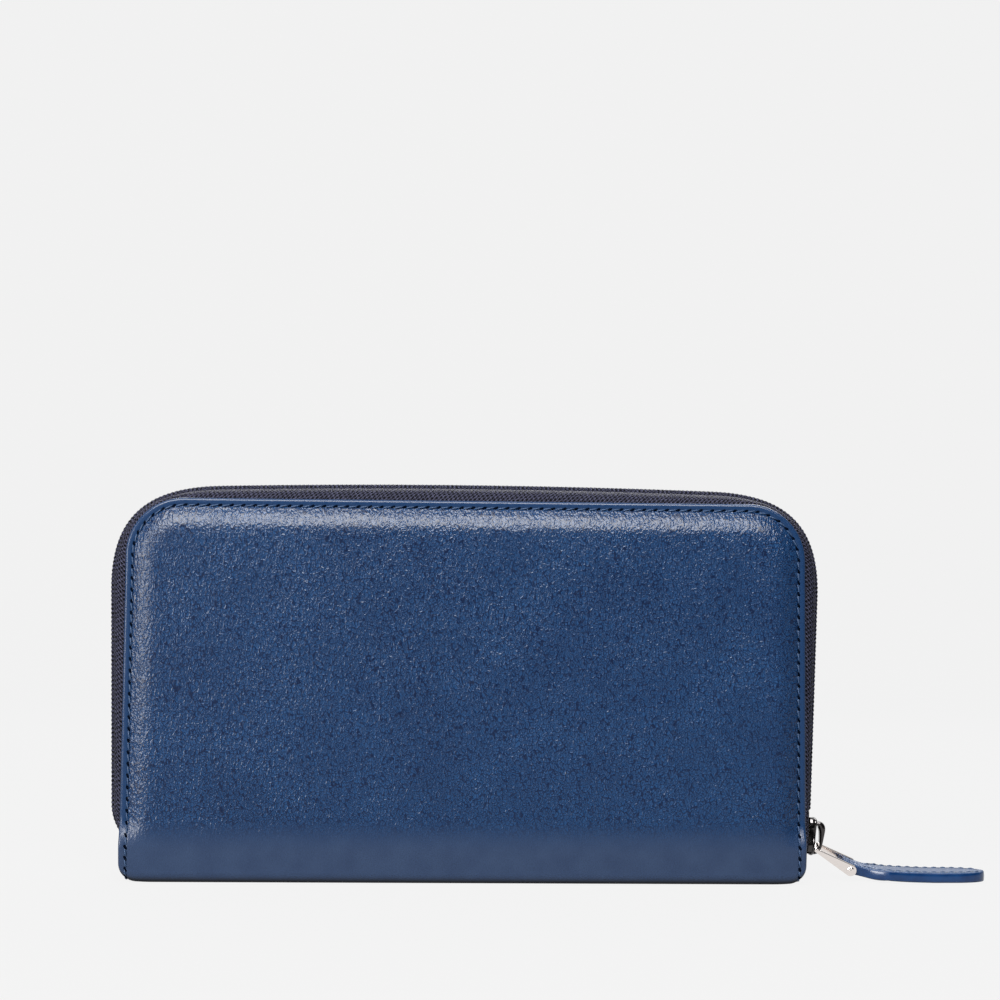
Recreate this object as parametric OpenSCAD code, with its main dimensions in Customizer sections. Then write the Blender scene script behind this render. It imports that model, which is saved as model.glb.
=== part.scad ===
// Zip-around long wallet, closed and standing on its spine.
// X runs along the wallet, Y through its thickness with the front cover at -Y, and Z is up.
// The origin is the middle of the spine's flat underside. Sizes are in millimetres.
// The front half is modelled, and the back half is its mirror image in the plane y = 0.

/* [Covers] */
// Width of the covers along X
wallet_w = 190; // [180:1:200]
// Height of the covers above the surface they stand on
wallet_h = 106; // [102:1:112]
// Thickness over both padded covers
wallet_t = 25; // [25:0.5:28]
// Radius of the covers' top corners
corner_r = 16; // [12:1:20]
// How far the padding lifts the leather above its stitched border
crown = 2.4; // [1.5:0.1:2.6]
// Width of the flat stitched border
border_w = 2.5; // [2:0.1:3.5]
// Width of the padding's sloping shoulder
shoulder_w = 5; // [3:0.5:7]
// Outer radius of the fold between the spine and a cover
fold_r = 3.5; // [3:0.25:4]
// Thickness of the outer leather
leather_t = 1.2; // [1:0.1:1.4]

/* [Zip] */
// Distance of the closed chain from the middle, at the top of a side leg
chain_x = 99.5; // [98:0.1:101]
// Height of the chain at the middle of the top run
chain_z = 110.3; // [109:0.1:112]
// Lean of the right leg, along which the slider runs, in degrees
leg_tilt = 2; // [1:0.5:3]
// Width of one half of the coil
coil_w = 1.95; // [1.8:0.05:2]
// Thickness of the coil
coil_t = 1.3; // [1.2:0.05:1.4]
// Height of the slider's middle when the zip is shut
slider_z = 12.5; // [12:0.1:14]
// Length of the slider
slider_l = 10.6; // [10:0.2:11]

/* [Pull] */
// Distance from the clevis bar to the rivet
clevis_l = 11.3; // [10:0.1:12.5]
// Angle of the clevis below the horizontal, in degrees
clevis_drop = 29.5; // [20:0.5:32]
// Roll of the clevis about its own length, in degrees
clevis_roll = 16; // [0:1:18]
// Width of the leather tongue
tongue_w = 12.6; // [10:0.2:14]
// Thickness of the leather tongue
tongue_t = 2.9; // [2.4:0.1:3.2]

/* [Inside] */
// Number of card pockets up each cover
card_slots = 4; // [2:1:4]
// Rise from one card pocket's edge to the next
card_step = 11; // [9:1:12]
// Height of the lowest card pocket's edge
card_top = 46; // [40:1:50]
// Height of the zip across the coin pocket
coin_zip_z = 75.5; // [72:0.5:77]

/* [Hidden] */

$fn = 64;
hull_fn = 32;

blue = [0.13, 0.24, 0.43];
lining_blue = [0.20, 0.27, 0.40];
navy = [0.14, 0.14, 0.19];
steel = [0.80, 0.79, 0.77];
board_grey = [0.60, 0.58, 0.52];
foam_white = [0.90, 0.90, 0.86];

// Layers of a cover, as distances from the middle plane, from the outside in
half_t = wallet_t / 2;
border_y = half_t - crown;               // outer face of the stitched border
border_in = border_y - leather_t;        // inner face of the leather at the border
tape_t = 0.45;
lining_t = 0.45;
lining_out = border_in - 0.5;            // the zip tape lies in this gap
lining_in = lining_out - lining_t;
board_t = 0.6;
board_in = lining_out + 0.05;
pocket_t = 0.45;
pocket_pitch = 0.5;
tape_y = (border_in + lining_out) / 2;

// Heights
fold_y = half_t - fold_r;                // centre of the fold's curve
inner_base = 4.6;                        // bottom of the layers inside a cover
end_inset = border_w + shoulder_w;       // where the crown is at its full height

// Chain path
leg_top = 80;
top_run = 70;
top_sag = 1;
corner_pull = 0.7;                       // handle length of the corner curves, as a share of their size
tape_inset = 3.5;                        // how far the tape runs between leather and lining
coil_gap = 0.35;                         // half the gap between the two coils
tape_drop = coil_t / 2 + tape_t / 2;     // the coil lies on the tape's outer face
flat_y = 4.4;                            // the tape is flat out to here, for the slider to run on
notch_y = 4.75;                          // the front tape is folded back to here beside the parked slider
zip_end_z = 6;
front_coil_z = slider_z + slider_l / 2 + 2.6;
back_coil_z = slider_z + 1;

// Slider
slider_lean = leg_tilt + 5;
plate_t = 0.75;
channel_out = 1.2;
channel_in = -1.7;
slot_top = -0.05;
plate_out = channel_out + plate_t;
bail_w = 2.6;
bar_r = 0.5;
bar_n = plate_out + 1;                   // clevis bar, outward from the slider's middle
bar_t = -2.8;                            // clevis bar, along the slider

// Pull, from the clevis bar
arm_in = 2.35;
arm_t = 0.7;
rivet_r = 0.75;
rivet_clear = 0.05;
arm_end_r = 1.6;

// Coin pocket
coin_half_w = 87;
coin_wall_t = 0.7;
coin_in = 0.8;                           // half the gap inside the pocket
coin_out = coin_in + coin_wall_t;
coin_base = 1.8;
coin_top = 88;
coin_slider_x = 62;

// ---------- helpers ----------

function unit(v) = v / norm(v);
function clamp(v, low, high) = min(max(v, low), high);
function bezier(a, b, c, d, u) =
    pow(1 - u, 3) * a + 3 * u * pow(1 - u, 2) * b + 3 * u * u * (1 - u) * c + pow(u, 3) * d;
function curve(a, b, c, d, steps) = [for (i = [0:steps]) bezier(a, b, c, d, i / steps)];
function heading(path, i) = unit(path[min(i + 1, len(path) - 1)] - path[max(i - 1, 0)]);

// Closed outline of a line drawn with a pen of thickness t
function stroke(path, t) = concat(
    [for (i = [0:len(path) - 1]) let (d = heading(path, i)) path[i] + t / 2 * [-d[1], d[0]]],
    [for (i = [len(path) - 1:-1:0]) let (d = heading(path, i)) path[i] - t / 2 * [-d[1], d[0]]]);

// Solid through a list of rings with the same even number of points, where each ring's first
// half runs along one side and its second half comes back along the other
module loft(rings) {
    n = len(rings[0]);
    last = len(rings) - 1;
    polyhedron(
        points = [for (ring = rings) for (p = ring) p],
        faces = concat(
            [for (k = [0:n / 2 - 2]) each [[k, k + 1, n - 1 - k], [k + 1, n - 2 - k, n - 1 - k]]],
            [for (i = [0:last - 1]) for (k = [0:n - 1])
                let (a = i * n + k, b = i * n + (k + 1) % n) each [[a, a + n, b + n], [a, b + n, b]]],
            [for (k = [0:n / 2 - 2]) let (a = last * n, c = a + n - 1 - k)
                each [[a + k, c, a + k + 1], [a + k + 1, c, c - 1]]]),
        convexity = 8);
}

// Upright slab of a shape drawn in X and Z, from y = -y_in out to y = -y_out
module slab(y_in, y_out) {
    rotate([90, 0, 0]) translate([0, 0, y_in]) linear_extrude(y_out - y_in) children();
}

// Shape drawn in Y and Z, extruded along X
module along_x(x0, x1) {
    translate([x0, 0, 0]) rotate([90, 0, 90]) linear_extrude(x1 - x0) children();
}

module back() {
    mirror([0, 1, 0]) children();
}

// A cover's outline, with two round top corners and square bottom ones
module cover_outline(inset, base) {
    half = wallet_w / 2 - inset;
    top = wallet_h - inset;
    r = corner_r - inset;
    for (s = [-1, 1]) translate([s * (half - r), top - r]) circle(r);
    translate([-half, base]) square([2 * half, top - r - base]);
    translate([r - half, base]) square([2 * (half - r), top - base]);
}

// Quarter of the fold's curve, between two angles, as a shape in Y and Z
module fold_sector(a0, a1) {
    reach = 2 * fold_r;
    mid = (a0 + a1) / 2;
    translate([-fold_y, fold_r]) intersection() {
        difference() {
            circle(fold_r);
            circle(fold_r - leather_t);
        }
        polygon([[0, 0], for (a = [a0, mid, a1]) reach * [cos(a), sin(a)]]);
    }
}

// ---------- spine ----------

module spine_leather() {
    half = wallet_w / 2;
    rise = [[half, crown], [half - border_w, crown], [half - end_inset, 0]];
    under = concat(rise, [for (i = [2:-1:0]) [-rise[i][0], rise[i][1]]]);
    color(blue) {
        rotate([90, 0, 0]) linear_extrude(2 * fold_y, center = true)
            polygon(concat(under, [for (i = [5:-1:0]) under[i] + [0, leather_t]]));
        for (s = [0, 1]) mirror([0, s, 0])
            along_x(end_inset - half, half - end_inset) fold_sector(225.5, 270);
    }
}

module spine_lining() {
    half = wallet_w / 2 - end_inset;
    color(lining_blue) translate([-half, -fold_y + 1, leather_t])
        cube([2 * half, 2 * fold_y - 2, lining_t]);
}

// ---------- front cover ----------

// Body between the border level and the crown level, moved inward by t for the inner face
module crown_body(t) {
    hull() {
        slab(border_in - t, border_y - t) cover_outline(border_w + t, fold_r, $fn = hull_fn);
        slab(half_t - t - 0.1, half_t - t) cover_outline(end_inset + t / 2, fold_r, $fn = hull_fn);
    }
}

module cover_leather() {
    half = wallet_w / 2 - end_inset;
    color(blue) {
        difference() {
            union() {
                slab(border_in, border_y) cover_outline(0, fold_r + 0.15);
                crown_body(0);
            }
            translate([0, 0, -0.01]) crown_body(leather_t);
        }
        along_x(-half, half) fold_sector(180, 224.5);
    }
}

module cover_padding() {
    gap = 0.1;
    color(foam_white) hull() {
        slab(board_in + board_t + gap, board_in + board_t + 0.2)
            cover_outline(end_inset - 1.4, inner_base, $fn = hull_fn);
        slab(half_t - leather_t - 0.4, half_t - leather_t - gap)
            cover_outline(end_inset + 1.2, inner_base, $fn = hull_fn);
    }
}

module cover_board() {
    color(board_grey) slab(board_in, board_in + board_t) cover_outline(5.2, inner_base);
}

module cover_lining() {
    color(lining_blue) slab(lining_in, lining_out) cover_outline(0.4, inner_base);
}

// Card pocket i, counted from the lowest and innermost edge
module card_pocket(i) {
    half = 87.3;
    base = 6;
    top = card_top + (i - 1) * card_step;
    near = lining_in - (card_slots - i + 1) * pocket_pitch;
    color(blue) slab(near, near + pocket_t) translate([-half, base]) square([2 * half, top - base]);
}

// ---------- main zip ----------

// The path of the closed chain in X and Z, and the leather's edge beside it
function leg_x(z) = chain_x - (leg_top - z) * tan(leg_tilt);
function top_z(x) = chain_z - top_sag * pow(x / top_run, 2);
corner_box = [chain_x - top_run, top_z(top_run) - leg_top];
top_slope = 2 * top_sag / top_run;
right_corner = curve(
    [chain_x, leg_top],
    [chain_x, leg_top] + corner_pull * corner_box[1] * [tan(leg_tilt), 1],
    [top_run, top_z(top_run)] + corner_pull * corner_box[0] * [1, -top_slope],
    [top_run, top_z(top_run)], 12);
left_corner = [for (i = [12:-1:0]) [-right_corner[i][0], right_corner[i][1]]];
left_end = [[-98.9, 50], [-98.7, 21], [-98.1, 16.5], [-96.8, 13.5], [-94.6, 11.5], [-93.4, 9.8]];
chain_top = [for (x = [top_run - 17.5:-17.5:17.5 - top_run]) [x, top_z(x)]];
chain_rest = concat(right_corner, chain_top, left_corner, left_end);
function chain(z0, extra = []) =
    concat([for (z = concat([z0], extra)) [leg_x(z), z]], chain_rest);

function anchor(p) = [
    clamp(p[0], corner_r - wallet_w / 2, wallet_w / 2 - corner_r), min(p[1], wallet_h - corner_r)];
// A point beside station p: r is its distance from the anchor, y its place through the thickness
function beside(p, r, y) = let (q = anchor(p), e = q + r * unit(p - q)) [e[0], y, e[1]];
function reach(p) = norm(p - anchor(p));

// The front tape's cross-section: inside the cover, out over the edge, and flat beside the coil
function tape_line(p, y_end) = let (r = reach(p) - tape_drop, y_flat = min(-flat_y, y_end - 0.4))
    concat(
        [[corner_r - tape_inset, -tape_y]],
        curve([corner_r, -tape_y], [corner_r + 0.6 * (r - corner_r), -tape_y],
              [r, y_flat - 2.2], [r, y_flat], 5),
        [[r, y_end]]);
function tape_ring(p, y_end) = [for (v = stroke(tape_line(p, y_end), tape_t)) beside(p, v[0], v[1])];

module zip_tape(notched) {
    z_notch = front_coil_z - 0.5;
    stations = chain(zip_end_z, [z_notch, z_notch + 0.3]);
    color(navy) loft([for (i = [0:len(stations) - 1])
        tape_ring(stations[i], notched && i < 2 ? -notch_y : -coil_gap)]);
}

module zip_coil(z0) {
    color(navy) loft([for (p = chain(z0)) let (r = reach(p)) [
        beside(p, r - coil_t / 2, -coil_gap - coil_w), beside(p, r + coil_t / 2, -coil_gap - coil_w),
        beside(p, r + coil_t / 2, -coil_gap), beside(p, r - coil_t / 2, -coil_gap)]]);
}

// Stop on the tape's folded edge, just past the parked slider
module top_stop() {
    z = 6.4;
    color(navy) translate([leg_x(z) - coil_t / 2 + 0.1, -notch_y - 1.5, z]) cube([0.9, 1.4, 1.3]);
}

// Clip on the coil's end at the far end of the chain
module bottom_stop() {
    end = left_end[len(left_end) - 1];
    h = 1.8;
    color(navy) translate([end[0] - 1.1, -2.4, end[1] - h]) cube([2.2, 2.3, h]);
}

// ---------- main slider, drawn with X outward, Y across and Z along the chain ----------

module at_slider() {
    translate([leg_x(slider_z), 0, slider_z]) rotate([0, slider_lean, 0]) children();
}

// Half-outline of a slider plate from the tail down to the nose
slider_side = [[2.9, 0.5], [3.35, 0.42], [3.4, 0.1], [4.1, -0.14], [4.2, -0.3], [3.3, -0.44], [1.2, -0.5]];
function slider_outline() = concat(
    [for (p = slider_side) [p[0], p[1] * slider_l]],
    [for (i = [len(slider_side) - 1:-1:0]) [-slider_side[i][0], slider_side[i][1] * slider_l]]);

module slider_plate(n0, n1) {
    along_x(n0, n1) polygon(slider_outline());
}

// Channel between the two side flanges, wider where the chain opens round the post
module slider_channel(n0, n1) {
    half = coil_gap + coil_w + 0.2;
    wide = 3.35;
    l = slider_l / 2 + 0.1;
    along_x(n0, n1) polygon([
        [-half, l], [half, l], [half, 0], [wide, -2], [wide, -l], [-wide, -l], [-wide, -2], [-half, 0]]);
}

module slider_body() {
    post_half = 0.22;
    color(steel) at_slider() {
        difference() {
            slider_plate(slot_top, plate_out);
            slider_channel(slot_top - 1, channel_out);
        }
        slider_plate(channel_in - plate_t, channel_in);
        translate([channel_in - 0.1, -post_half, -0.44 * slider_l])
            cube([channel_out - channel_in + 0.2, 2 * post_half, 0.33 * slider_l]);
    }
}

// Arched bridge that holds the pull, thick at its upper shoulder
module slider_bail() {
    line = concat(
        curve([plate_out, 4.1], [plate_out + 2.2, 4.5], [plate_out + 2.65, 3.6], [plate_out + 2.5, 1.2], 8),
        curve([plate_out + 2.5, 0.4], [plate_out + 2.55, -2.6], [plate_out + 2.4, -4.6], [plate_out, -4.6], 8));
    widths = [for (i = [0:len(line) - 1]) 0.95 - 0.3 * i / (len(line) - 1)];
    color(steel) at_slider() loft([for (i = [0:len(line) - 1])
        let (d = heading(line, i), across = [d[1], -d[0]], w = widths[i] / 1.6)
        [for (a = [0:30:330]) let (e = 0.8, c = cos(a), s = sin(a),
                u = w * sign(c) * pow(abs(c), e), v = bail_w / 2 * sign(s) * pow(abs(s), e))
            [line[i][0] + u * across[0], v, line[i][1] + u * across[1]]]]);
}

// ---------- pull, drawn from the clevis bar with X along it and Y along the bar ----------

bar_at = [leg_x(slider_z) + bar_n * cos(slider_lean) + bar_t * sin(slider_lean),
          slider_z - bar_n * sin(slider_lean) + bar_t * cos(slider_lean)];

module at_clevis() {
    translate([bar_at[0], 0, bar_at[1]]) rotate([0, clevis_drop, 0]) rotate([clevis_roll, 0, 0]) children();
}

module across_y(r, y0, y1) {
    translate([0, y1, 0]) rotate([90, 0, 0]) cylinder(r = r, h = y1 - y0);
}

// Flat arm that widens from the bar to a round end with the rivet hole
module clevis_arm() {
    r0 = 0.55;
    slope = asin((arm_end_r - r0) / clevis_l);
    side = [sin(slope), cos(slope)];
    start = -r0 * side[0];
    finish = clevis_l - arm_end_r * side[0];
    rotate([90, 0, 0]) linear_extrude(arm_t) difference() {
        union() {
            circle(r0);
            translate([clevis_l, 0]) circle(arm_end_r);
            polygon([
                [start, r0 * side[1]], [finish, arm_end_r * side[1]],
                [finish, -arm_end_r * side[1]], [start, -r0 * side[1]]]);
        }
        translate([clevis_l, 0]) circle(rivet_r + rivet_clear);
    }
}

module pull_clevis() {
    color(steel) at_clevis() {
        across_y(bar_r, -arm_in - arm_t / 2, arm_in + arm_t / 2);
        translate([0, -arm_in, 0]) clevis_arm();
        translate([0, arm_in + arm_t, 0]) clevis_arm();
    }
}

module pull_rivet() {
    out = arm_in + arm_t + 0.06;
    color(steel) at_clevis() translate([clevis_l, 0, 0]) {
        across_y(rivet_r, -out - 0.1, out + 0.1);
        across_y(1.15, -out - 0.35, -out);
        across_y(1.15, out, out + 0.35);
    }
}

// The tongue's middle line in X and Z: down from the clevis, then flat along the table
rivet_at = bar_at + clevis_l * [cos(clevis_drop), -sin(clevis_drop)];
rest_z = tongue_t / 2 + 0.05;
tongue_knee = [rivet_at[0] + 23, rest_z];
tongue_tip_x = rivet_at[0] + 38.4;
tongue_start = rivet_at - 2.8 * [cos(clevis_drop), -sin(clevis_drop)];
tongue_line = concat(
    curve(tongue_start, tongue_start + 5.2 * [cos(clevis_drop), -sin(clevis_drop)],
          [rivet_at[0] + 7.5, rest_z + 0.3], tongue_knee, 12),
    [for (u = [0.35, 0.6, 0.76, 0.87, 0.94, 0.98, 1])
        [tongue_knee[0] + u * (tongue_tip_x - tongue_knee[0]), rest_z]]);

// Half-width of the tongue at a distance along X from the rivet
neck_half = arm_in - 0.15;
function tongue_half(x) =
    let (blade = tongue_w / 2, grow = clamp((x - 2.8) / 8, 0, 1), end = tongue_tip_x - rivet_at[0],
         swell = neck_half + (blade - neck_half) * grow * grow * (3 - 2 * grow),
         taper = 1 - 0.12 * clamp((x - 14) / (end - 14), 0, 1),
         tip = sqrt(max(0.01, 1 - pow(clamp((x - end + 6.5) / 6.5, 0, 1), 2))))
    swell * taper * tip;

// One layer of the tongue between two heights measured from its middle line
module tongue_layer(low, high) {
    far = neck_half + 1;
    color(blue) difference() {
        loft([for (i = [0:len(tongue_line) - 1])
            let (p = tongue_line[i], d = heading(tongue_line, i), x = p[0] - rivet_at[0],
                 w = tongue_half(x), roll = clevis_roll * (1 - clamp((x - 2.6) / 7, 0, 1)),
                 up = [-d[1] * cos(roll), -sin(roll), d[0] * cos(roll)],
                 side = [-d[1] * sin(roll), cos(roll), d[0] * sin(roll)])
            [for (c = [[-w, low], [-w, high], [w, high], [w, low]])
                [p[0], 0, p[1]] + c[0] * side + c[1] * up]]);
        at_clevis() translate([clevis_l, 0, 0]) across_y(rivet_r + rivet_clear, -far, far);
    }
}

// ---------- gussets ----------

// Folded side wall between the coin pocket and the front cover, on the right
module gusset() {
    line = [
        [87.7, -lining_in + 0.45], [90.6, -lining_in + 0.45], [91.2, -lining_in + 1.1],
        [90.2, -lining_in + 1.9], [76, -4.3], [74.8, -3.9], [76, -3.4], [coin_half_w + 1.2, -1.62]];
    color(lining_blue) translate([0, 0, 9]) linear_extrude(80) polygon(stroke(line, 0.4));
}

// ---------- coin pocket ----------

module coin_panel(base, top) {
    color(blue) slab(coin_in, coin_out) translate([-coin_half_w, base])
        square([2 * coin_half_w, top - base]);
}

// Band above the zip, folded over the top onto the back wall
module coin_top_band() {
    base = coin_zip_z + 3.5;
    color(blue) along_x(-coin_half_w, coin_half_w) polygon([
        [-coin_out, base], [-coin_out, coin_top], [coin_in, coin_top], [coin_in, coin_top - 0.7],
        [-coin_in, coin_top - 0.7], [-coin_in, base]]);
}

// Lower half of the coin zip's tape and coil, and their mirror images above the chain
module coin_half(upper) {
    translate([0, 0, coin_zip_z]) mirror([0, 0, upper ? 1 : 0]) children();
}

module coin_tape() {
    half = coin_half_w - 3;
    color(navy) translate([-half, -coin_in + 0.05, -6.3]) cube([2 * half, 0.35, 6]);
}

module coin_coil() {
    half = coin_half_w - 9;
    color(navy) translate([-half, -coin_in - 0.85, -1.5]) cube([2 * half, 0.9, 1.2]);
}

module coin_zip_stops() {
    half = coin_half_w - 9;
    color(steel) for (x = [-half - 1.4, half + 0.1])
        translate([x, -coin_in - 0.85, coin_zip_z - 1.5]) cube([1.3, 0.9, 3]);
}

// Small slider, with a bridge along the chain that holds its pull
module coin_slider() {
    l = 8;
    half = 2.9;
    color(steel) translate([coin_slider_x, 0, coin_zip_z]) {
        difference() {
            translate([-l / 2, -2.5, -half]) cube([l, 1.6, 2 * half]);
            translate([-l, -1.85, -1.8]) cube([2 * l, 1.6, 3.6]);
        }
        translate([-l / 2, -0.2, -half]) cube([l, 0.4, 2 * half]);
        translate([-l / 2 + 0.4, -2.4, -0.2]) cube([l * 0.4, 2.3, 0.4]);
        difference() {
            translate([-3, -4.4, -0.9]) cube([6, 2, 1.8]);
            translate([-2.2, -3.8, -1]) cube([4.4, 1.3, 2]);
        }
    }
}

// Flat pull that lies along the chain, with a frame round the slider's bridge
module coin_pull() {
    low = 2.8;
    high = 3.5;
    axle = (low + high) / 2;
    l = 16;
    half = 1.95;
    color(steel) translate([coin_slider_x, 0, coin_zip_z]) {
        difference() {
            slab(low, high) {
                translate([2 - l, -half]) square([l - 2, 2 * half]);
                translate([2 - l, 0]) circle(half);
            }
            slab(low - 1, high + 1) translate([-4.6, -1.25]) square([10, 2.5]);
            slab(low - 1, high + 1) translate([2.2 - l, 0]) circle(0.9);
        }
        translate([-0.4, -axle, -half]) cylinder(r = 0.35, h = 2 * half);
    }
}

// ---------- nodes ----------

spine_leather();
spine_lining();

cover_leather();  // front_cover_leather
cover_padding();  // front_padding
cover_board();  // front_board
cover_lining();  // front_lining
card_pocket(1);  // front_card_pocket_1
card_pocket(2);  // front_card_pocket_2
card_pocket(3);  // front_card_pocket_3
card_pocket(4);  // front_card_pocket_4
zip_tape(true);  // front_zip_tape
zip_coil(front_coil_z);  // front_zip_coil
top_stop();  // front_top_stop
bottom_stop();  // front_bottom_stop

back() cover_leather();  // back_cover_leather
back() cover_padding();  // back_padding
back() cover_board();  // back_board
back() cover_lining();  // back_lining
back() card_pocket(1);  // back_card_pocket_1
back() card_pocket(2);  // back_card_pocket_2
back() card_pocket(3);  // back_card_pocket_3
back() card_pocket(4);  // back_card_pocket_4
back() zip_tape(false);  // back_zip_tape
back() zip_coil(back_coil_z);  // back_zip_coil
back() top_stop();  // back_top_stop
back() bottom_stop();  // back_bottom_stop

mirror([1, 0, 0]) gusset();  // front_left_gusset
gusset();  // front_right_gusset
back() mirror([1, 0, 0]) gusset();  // back_left_gusset
back() gusset();  // back_right_gusset

coin_panel(coin_base, coin_zip_z - 3.5);  // coin_front_wall
back() coin_panel(coin_base, coin_top);  // coin_back_wall
coin_top_band();
coin_half(false) coin_tape();  // coin_lower_tape
coin_half(true) coin_tape();  // coin_upper_tape
coin_half(false) coin_coil();  // coin_lower_coil
coin_half(true) coin_coil();  // coin_upper_coil
coin_zip_stops();
coin_slider();
coin_pull();

slider_body();
slider_bail();
pull_clevis();
pull_rivet();
tongue_layer(0.03, tongue_t / 2);  // tongue_upper_leather
tongue_layer(-tongue_t / 2, -0.03);  // tongue_lower_leather
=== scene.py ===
"""A closed zip-around wallet that stands on its spine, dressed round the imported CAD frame.

Lengths are in millimetres until mesh_object() turns them into metres. The front cover is at -Y.
"""
import math

import bpy
import numpy as np
from mathutils import Matrix, Vector


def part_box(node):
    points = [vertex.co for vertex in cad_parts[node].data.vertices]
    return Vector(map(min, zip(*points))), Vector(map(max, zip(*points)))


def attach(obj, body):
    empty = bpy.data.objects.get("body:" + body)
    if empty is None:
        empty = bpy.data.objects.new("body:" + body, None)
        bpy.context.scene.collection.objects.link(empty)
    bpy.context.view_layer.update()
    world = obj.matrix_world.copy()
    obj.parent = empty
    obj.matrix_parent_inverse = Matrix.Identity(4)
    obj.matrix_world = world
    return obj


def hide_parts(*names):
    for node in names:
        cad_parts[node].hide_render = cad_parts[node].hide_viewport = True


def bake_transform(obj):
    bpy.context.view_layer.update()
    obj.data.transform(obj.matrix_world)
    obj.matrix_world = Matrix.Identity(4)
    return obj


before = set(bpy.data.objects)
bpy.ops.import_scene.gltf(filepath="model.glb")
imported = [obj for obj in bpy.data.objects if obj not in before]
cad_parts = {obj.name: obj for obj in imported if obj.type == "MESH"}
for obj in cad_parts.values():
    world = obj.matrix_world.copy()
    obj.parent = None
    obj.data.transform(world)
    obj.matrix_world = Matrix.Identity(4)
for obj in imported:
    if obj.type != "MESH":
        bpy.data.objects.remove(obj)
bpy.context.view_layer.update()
scene = bpy.context.scene
MM = 0.001

# ---------- sizes, read from the frame where it has them ----------

HALF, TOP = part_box("front_cover_leather")[1][0] / MM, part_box("front_cover_leather")[1][2] / MM
CROWN_Y = -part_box("front_cover_leather")[0][1] / MM
CORNER, CROWN, FOLD, LEATHER = 16.0, 2.4, 3.5, 1.2
SPINE = CROWN_Y - FOLD                      # half-width of the spine's flat underside
ARC = FOLD * math.pi / 2
GIRTH = SPINE + ARC + TOP - FOLD            # from the middle of the spine to a cover's top edge
TAPE_Y, TAPE_T, COIL_T = 8.65, 0.45, 1.3
STITCH_IN, PITCH = 2.05, 3.2
LEG_TILT = math.radians(2)
CHAIN_X, LEG_TOP, TOP_HALF = 99.5, 80.0, 70.0   # the chain's legs end at LEG_TOP, its top run at TOP_HALF
SLIDER_Z = 12.5
SLIDER_X = CHAIN_X - (LEG_TOP - SLIDER_Z) * math.tan(LEG_TILT)


def clamp(v, lo=0.0, hi=1.0):
    return np.clip(v, lo, hi)


def smooth(v, lo, hi):
    t = clamp((np.asarray(v, float) - lo) / (hi - lo))
    return t * t * (3 - 2 * t)


def distance_along(points):
    """How far each point is from the first, along the line through them."""
    return np.concatenate([[0], np.cumsum(np.linalg.norm(np.diff(points, axis=0), axis=1))])


def headings(line):
    """Unit vectors along a line of points."""
    d = np.gradient(line, axis=0)
    return d / np.linalg.norm(d, axis=1)[:, None]


# ---------- mesh helpers ----------


def mesh_object(name, verts, faces, mat, grain=None, crease=None):
    """A mesh object from millimetre points. grain is a vector per point that the material reads."""
    me = bpy.data.meshes.new(name)
    me.from_pydata([tuple(p) for p in np.asarray(verts, float) * MM], [], faces)
    if grain is not None:
        att = me.attributes.new("grain", "FLOAT_VECTOR", "POINT")
        att.data.foreach_set("vector", np.asarray(grain, np.float32).ravel())
    me.polygons.foreach_set("use_smooth", [True] * len(me.polygons))
    me.validate()
    me.update()
    if crease:
        me.set_sharp_from_angle(angle=math.radians(crease))
    me.materials.append(mat)
    ob = bpy.data.objects.new(name, me)
    scene.collection.objects.link(ob)
    return ob


def finish_piece(ob, body, replaces=()):
    """Attaches the piece to its body when it has one, and hides the CAD nodes it replaces."""
    if body:
        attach(ob, body)
    if replaces:
        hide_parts(*replaces)
    return ob


def piece(name, skin, mat, body, replaces=(), crease=40, grain=None):
    """A piece from its points and faces, which rides on a body and stands for CAD nodes."""
    return finish_piece(mesh_object(name, *skin, mat, grain=grain, crease=crease), body, replaces)


def weld(verts, faces, extra=None):
    """Joins points that share a place, and drops what collapses."""
    seen, index, keep = {}, [], []
    for i, p in enumerate(np.round(verts, 5)):
        key = tuple(p)
        if key not in seen:
            seen[key] = len(keep)
            keep.append(i)
        index.append(seen[key])
    out = []
    for f in faces:
        g = [index[i] for i in f]
        g = [a for k, a in enumerate(g) if a != g[k - 1]]
        if len(g) > 2 and len(set(g)) == len(g):
            out.append(g)
    return verts[keep], out, None if extra is None else extra[keep]


def grid_faces(rows, cols, offset=0, wrap=False, flip=False):
    out = []
    for i in range(rows - 1):
        for j in range(cols if wrap else cols - 1):
            a, b = offset + i * cols + j, offset + i * cols + (j + 1) % cols
            f = [a, b, b + cols, a + cols]
            out.append(f[::-1] if flip else f)
    return out


def loft(rings, flip=False):
    """A skin over rings with the same number of points, closed round each ring."""
    rings = np.asarray(rings, float)
    rows, cols = rings.shape[:2]
    faces = grid_faces(rows, cols, wrap=True, flip=flip)
    a, b = list(range(cols)), list(range((rows - 1) * cols, rows * cols))
    faces += [a if flip else a[::-1], b[::-1] if flip else b]
    return rings.reshape(-1, 3), faces


def gather(parts):
    verts, faces, n = [], [], 0
    for v, f in parts:
        verts.append(np.asarray(v, float))
        faces += [[i + n for i in g] for g in f]
        n += len(v)
    return np.concatenate(verts), faces


def tube(path, radius, sides=8, flat=(1.0, 1.0)):
    """A round or flattened tube along a path. radius may be one number or one per point."""
    path = np.asarray(path, float)
    r = np.broadcast_to(radius, len(path))
    t = np.gradient(path, axis=0)
    t /= np.linalg.norm(t, axis=1)[:, None]
    n = np.cross(t[0], [0.0, 1.0, 0.0])
    if np.linalg.norm(n) < 0.2:
        n = np.cross(t[0], [1.0, 0.0, 0.0])
    rings = []
    a = np.arange(sides) * math.tau / sides
    for i in range(len(path)):
        n = n - t[i] * np.dot(n, t[i])
        n /= np.linalg.norm(n)
        b = np.cross(t[i], n)
        across, along = flat[0] * np.cos(a)[:, None] * n, flat[1] * np.sin(a)[:, None] * b
        rings.append(path[i] + r[i] * (across + along))
    return loft(rings)


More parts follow.
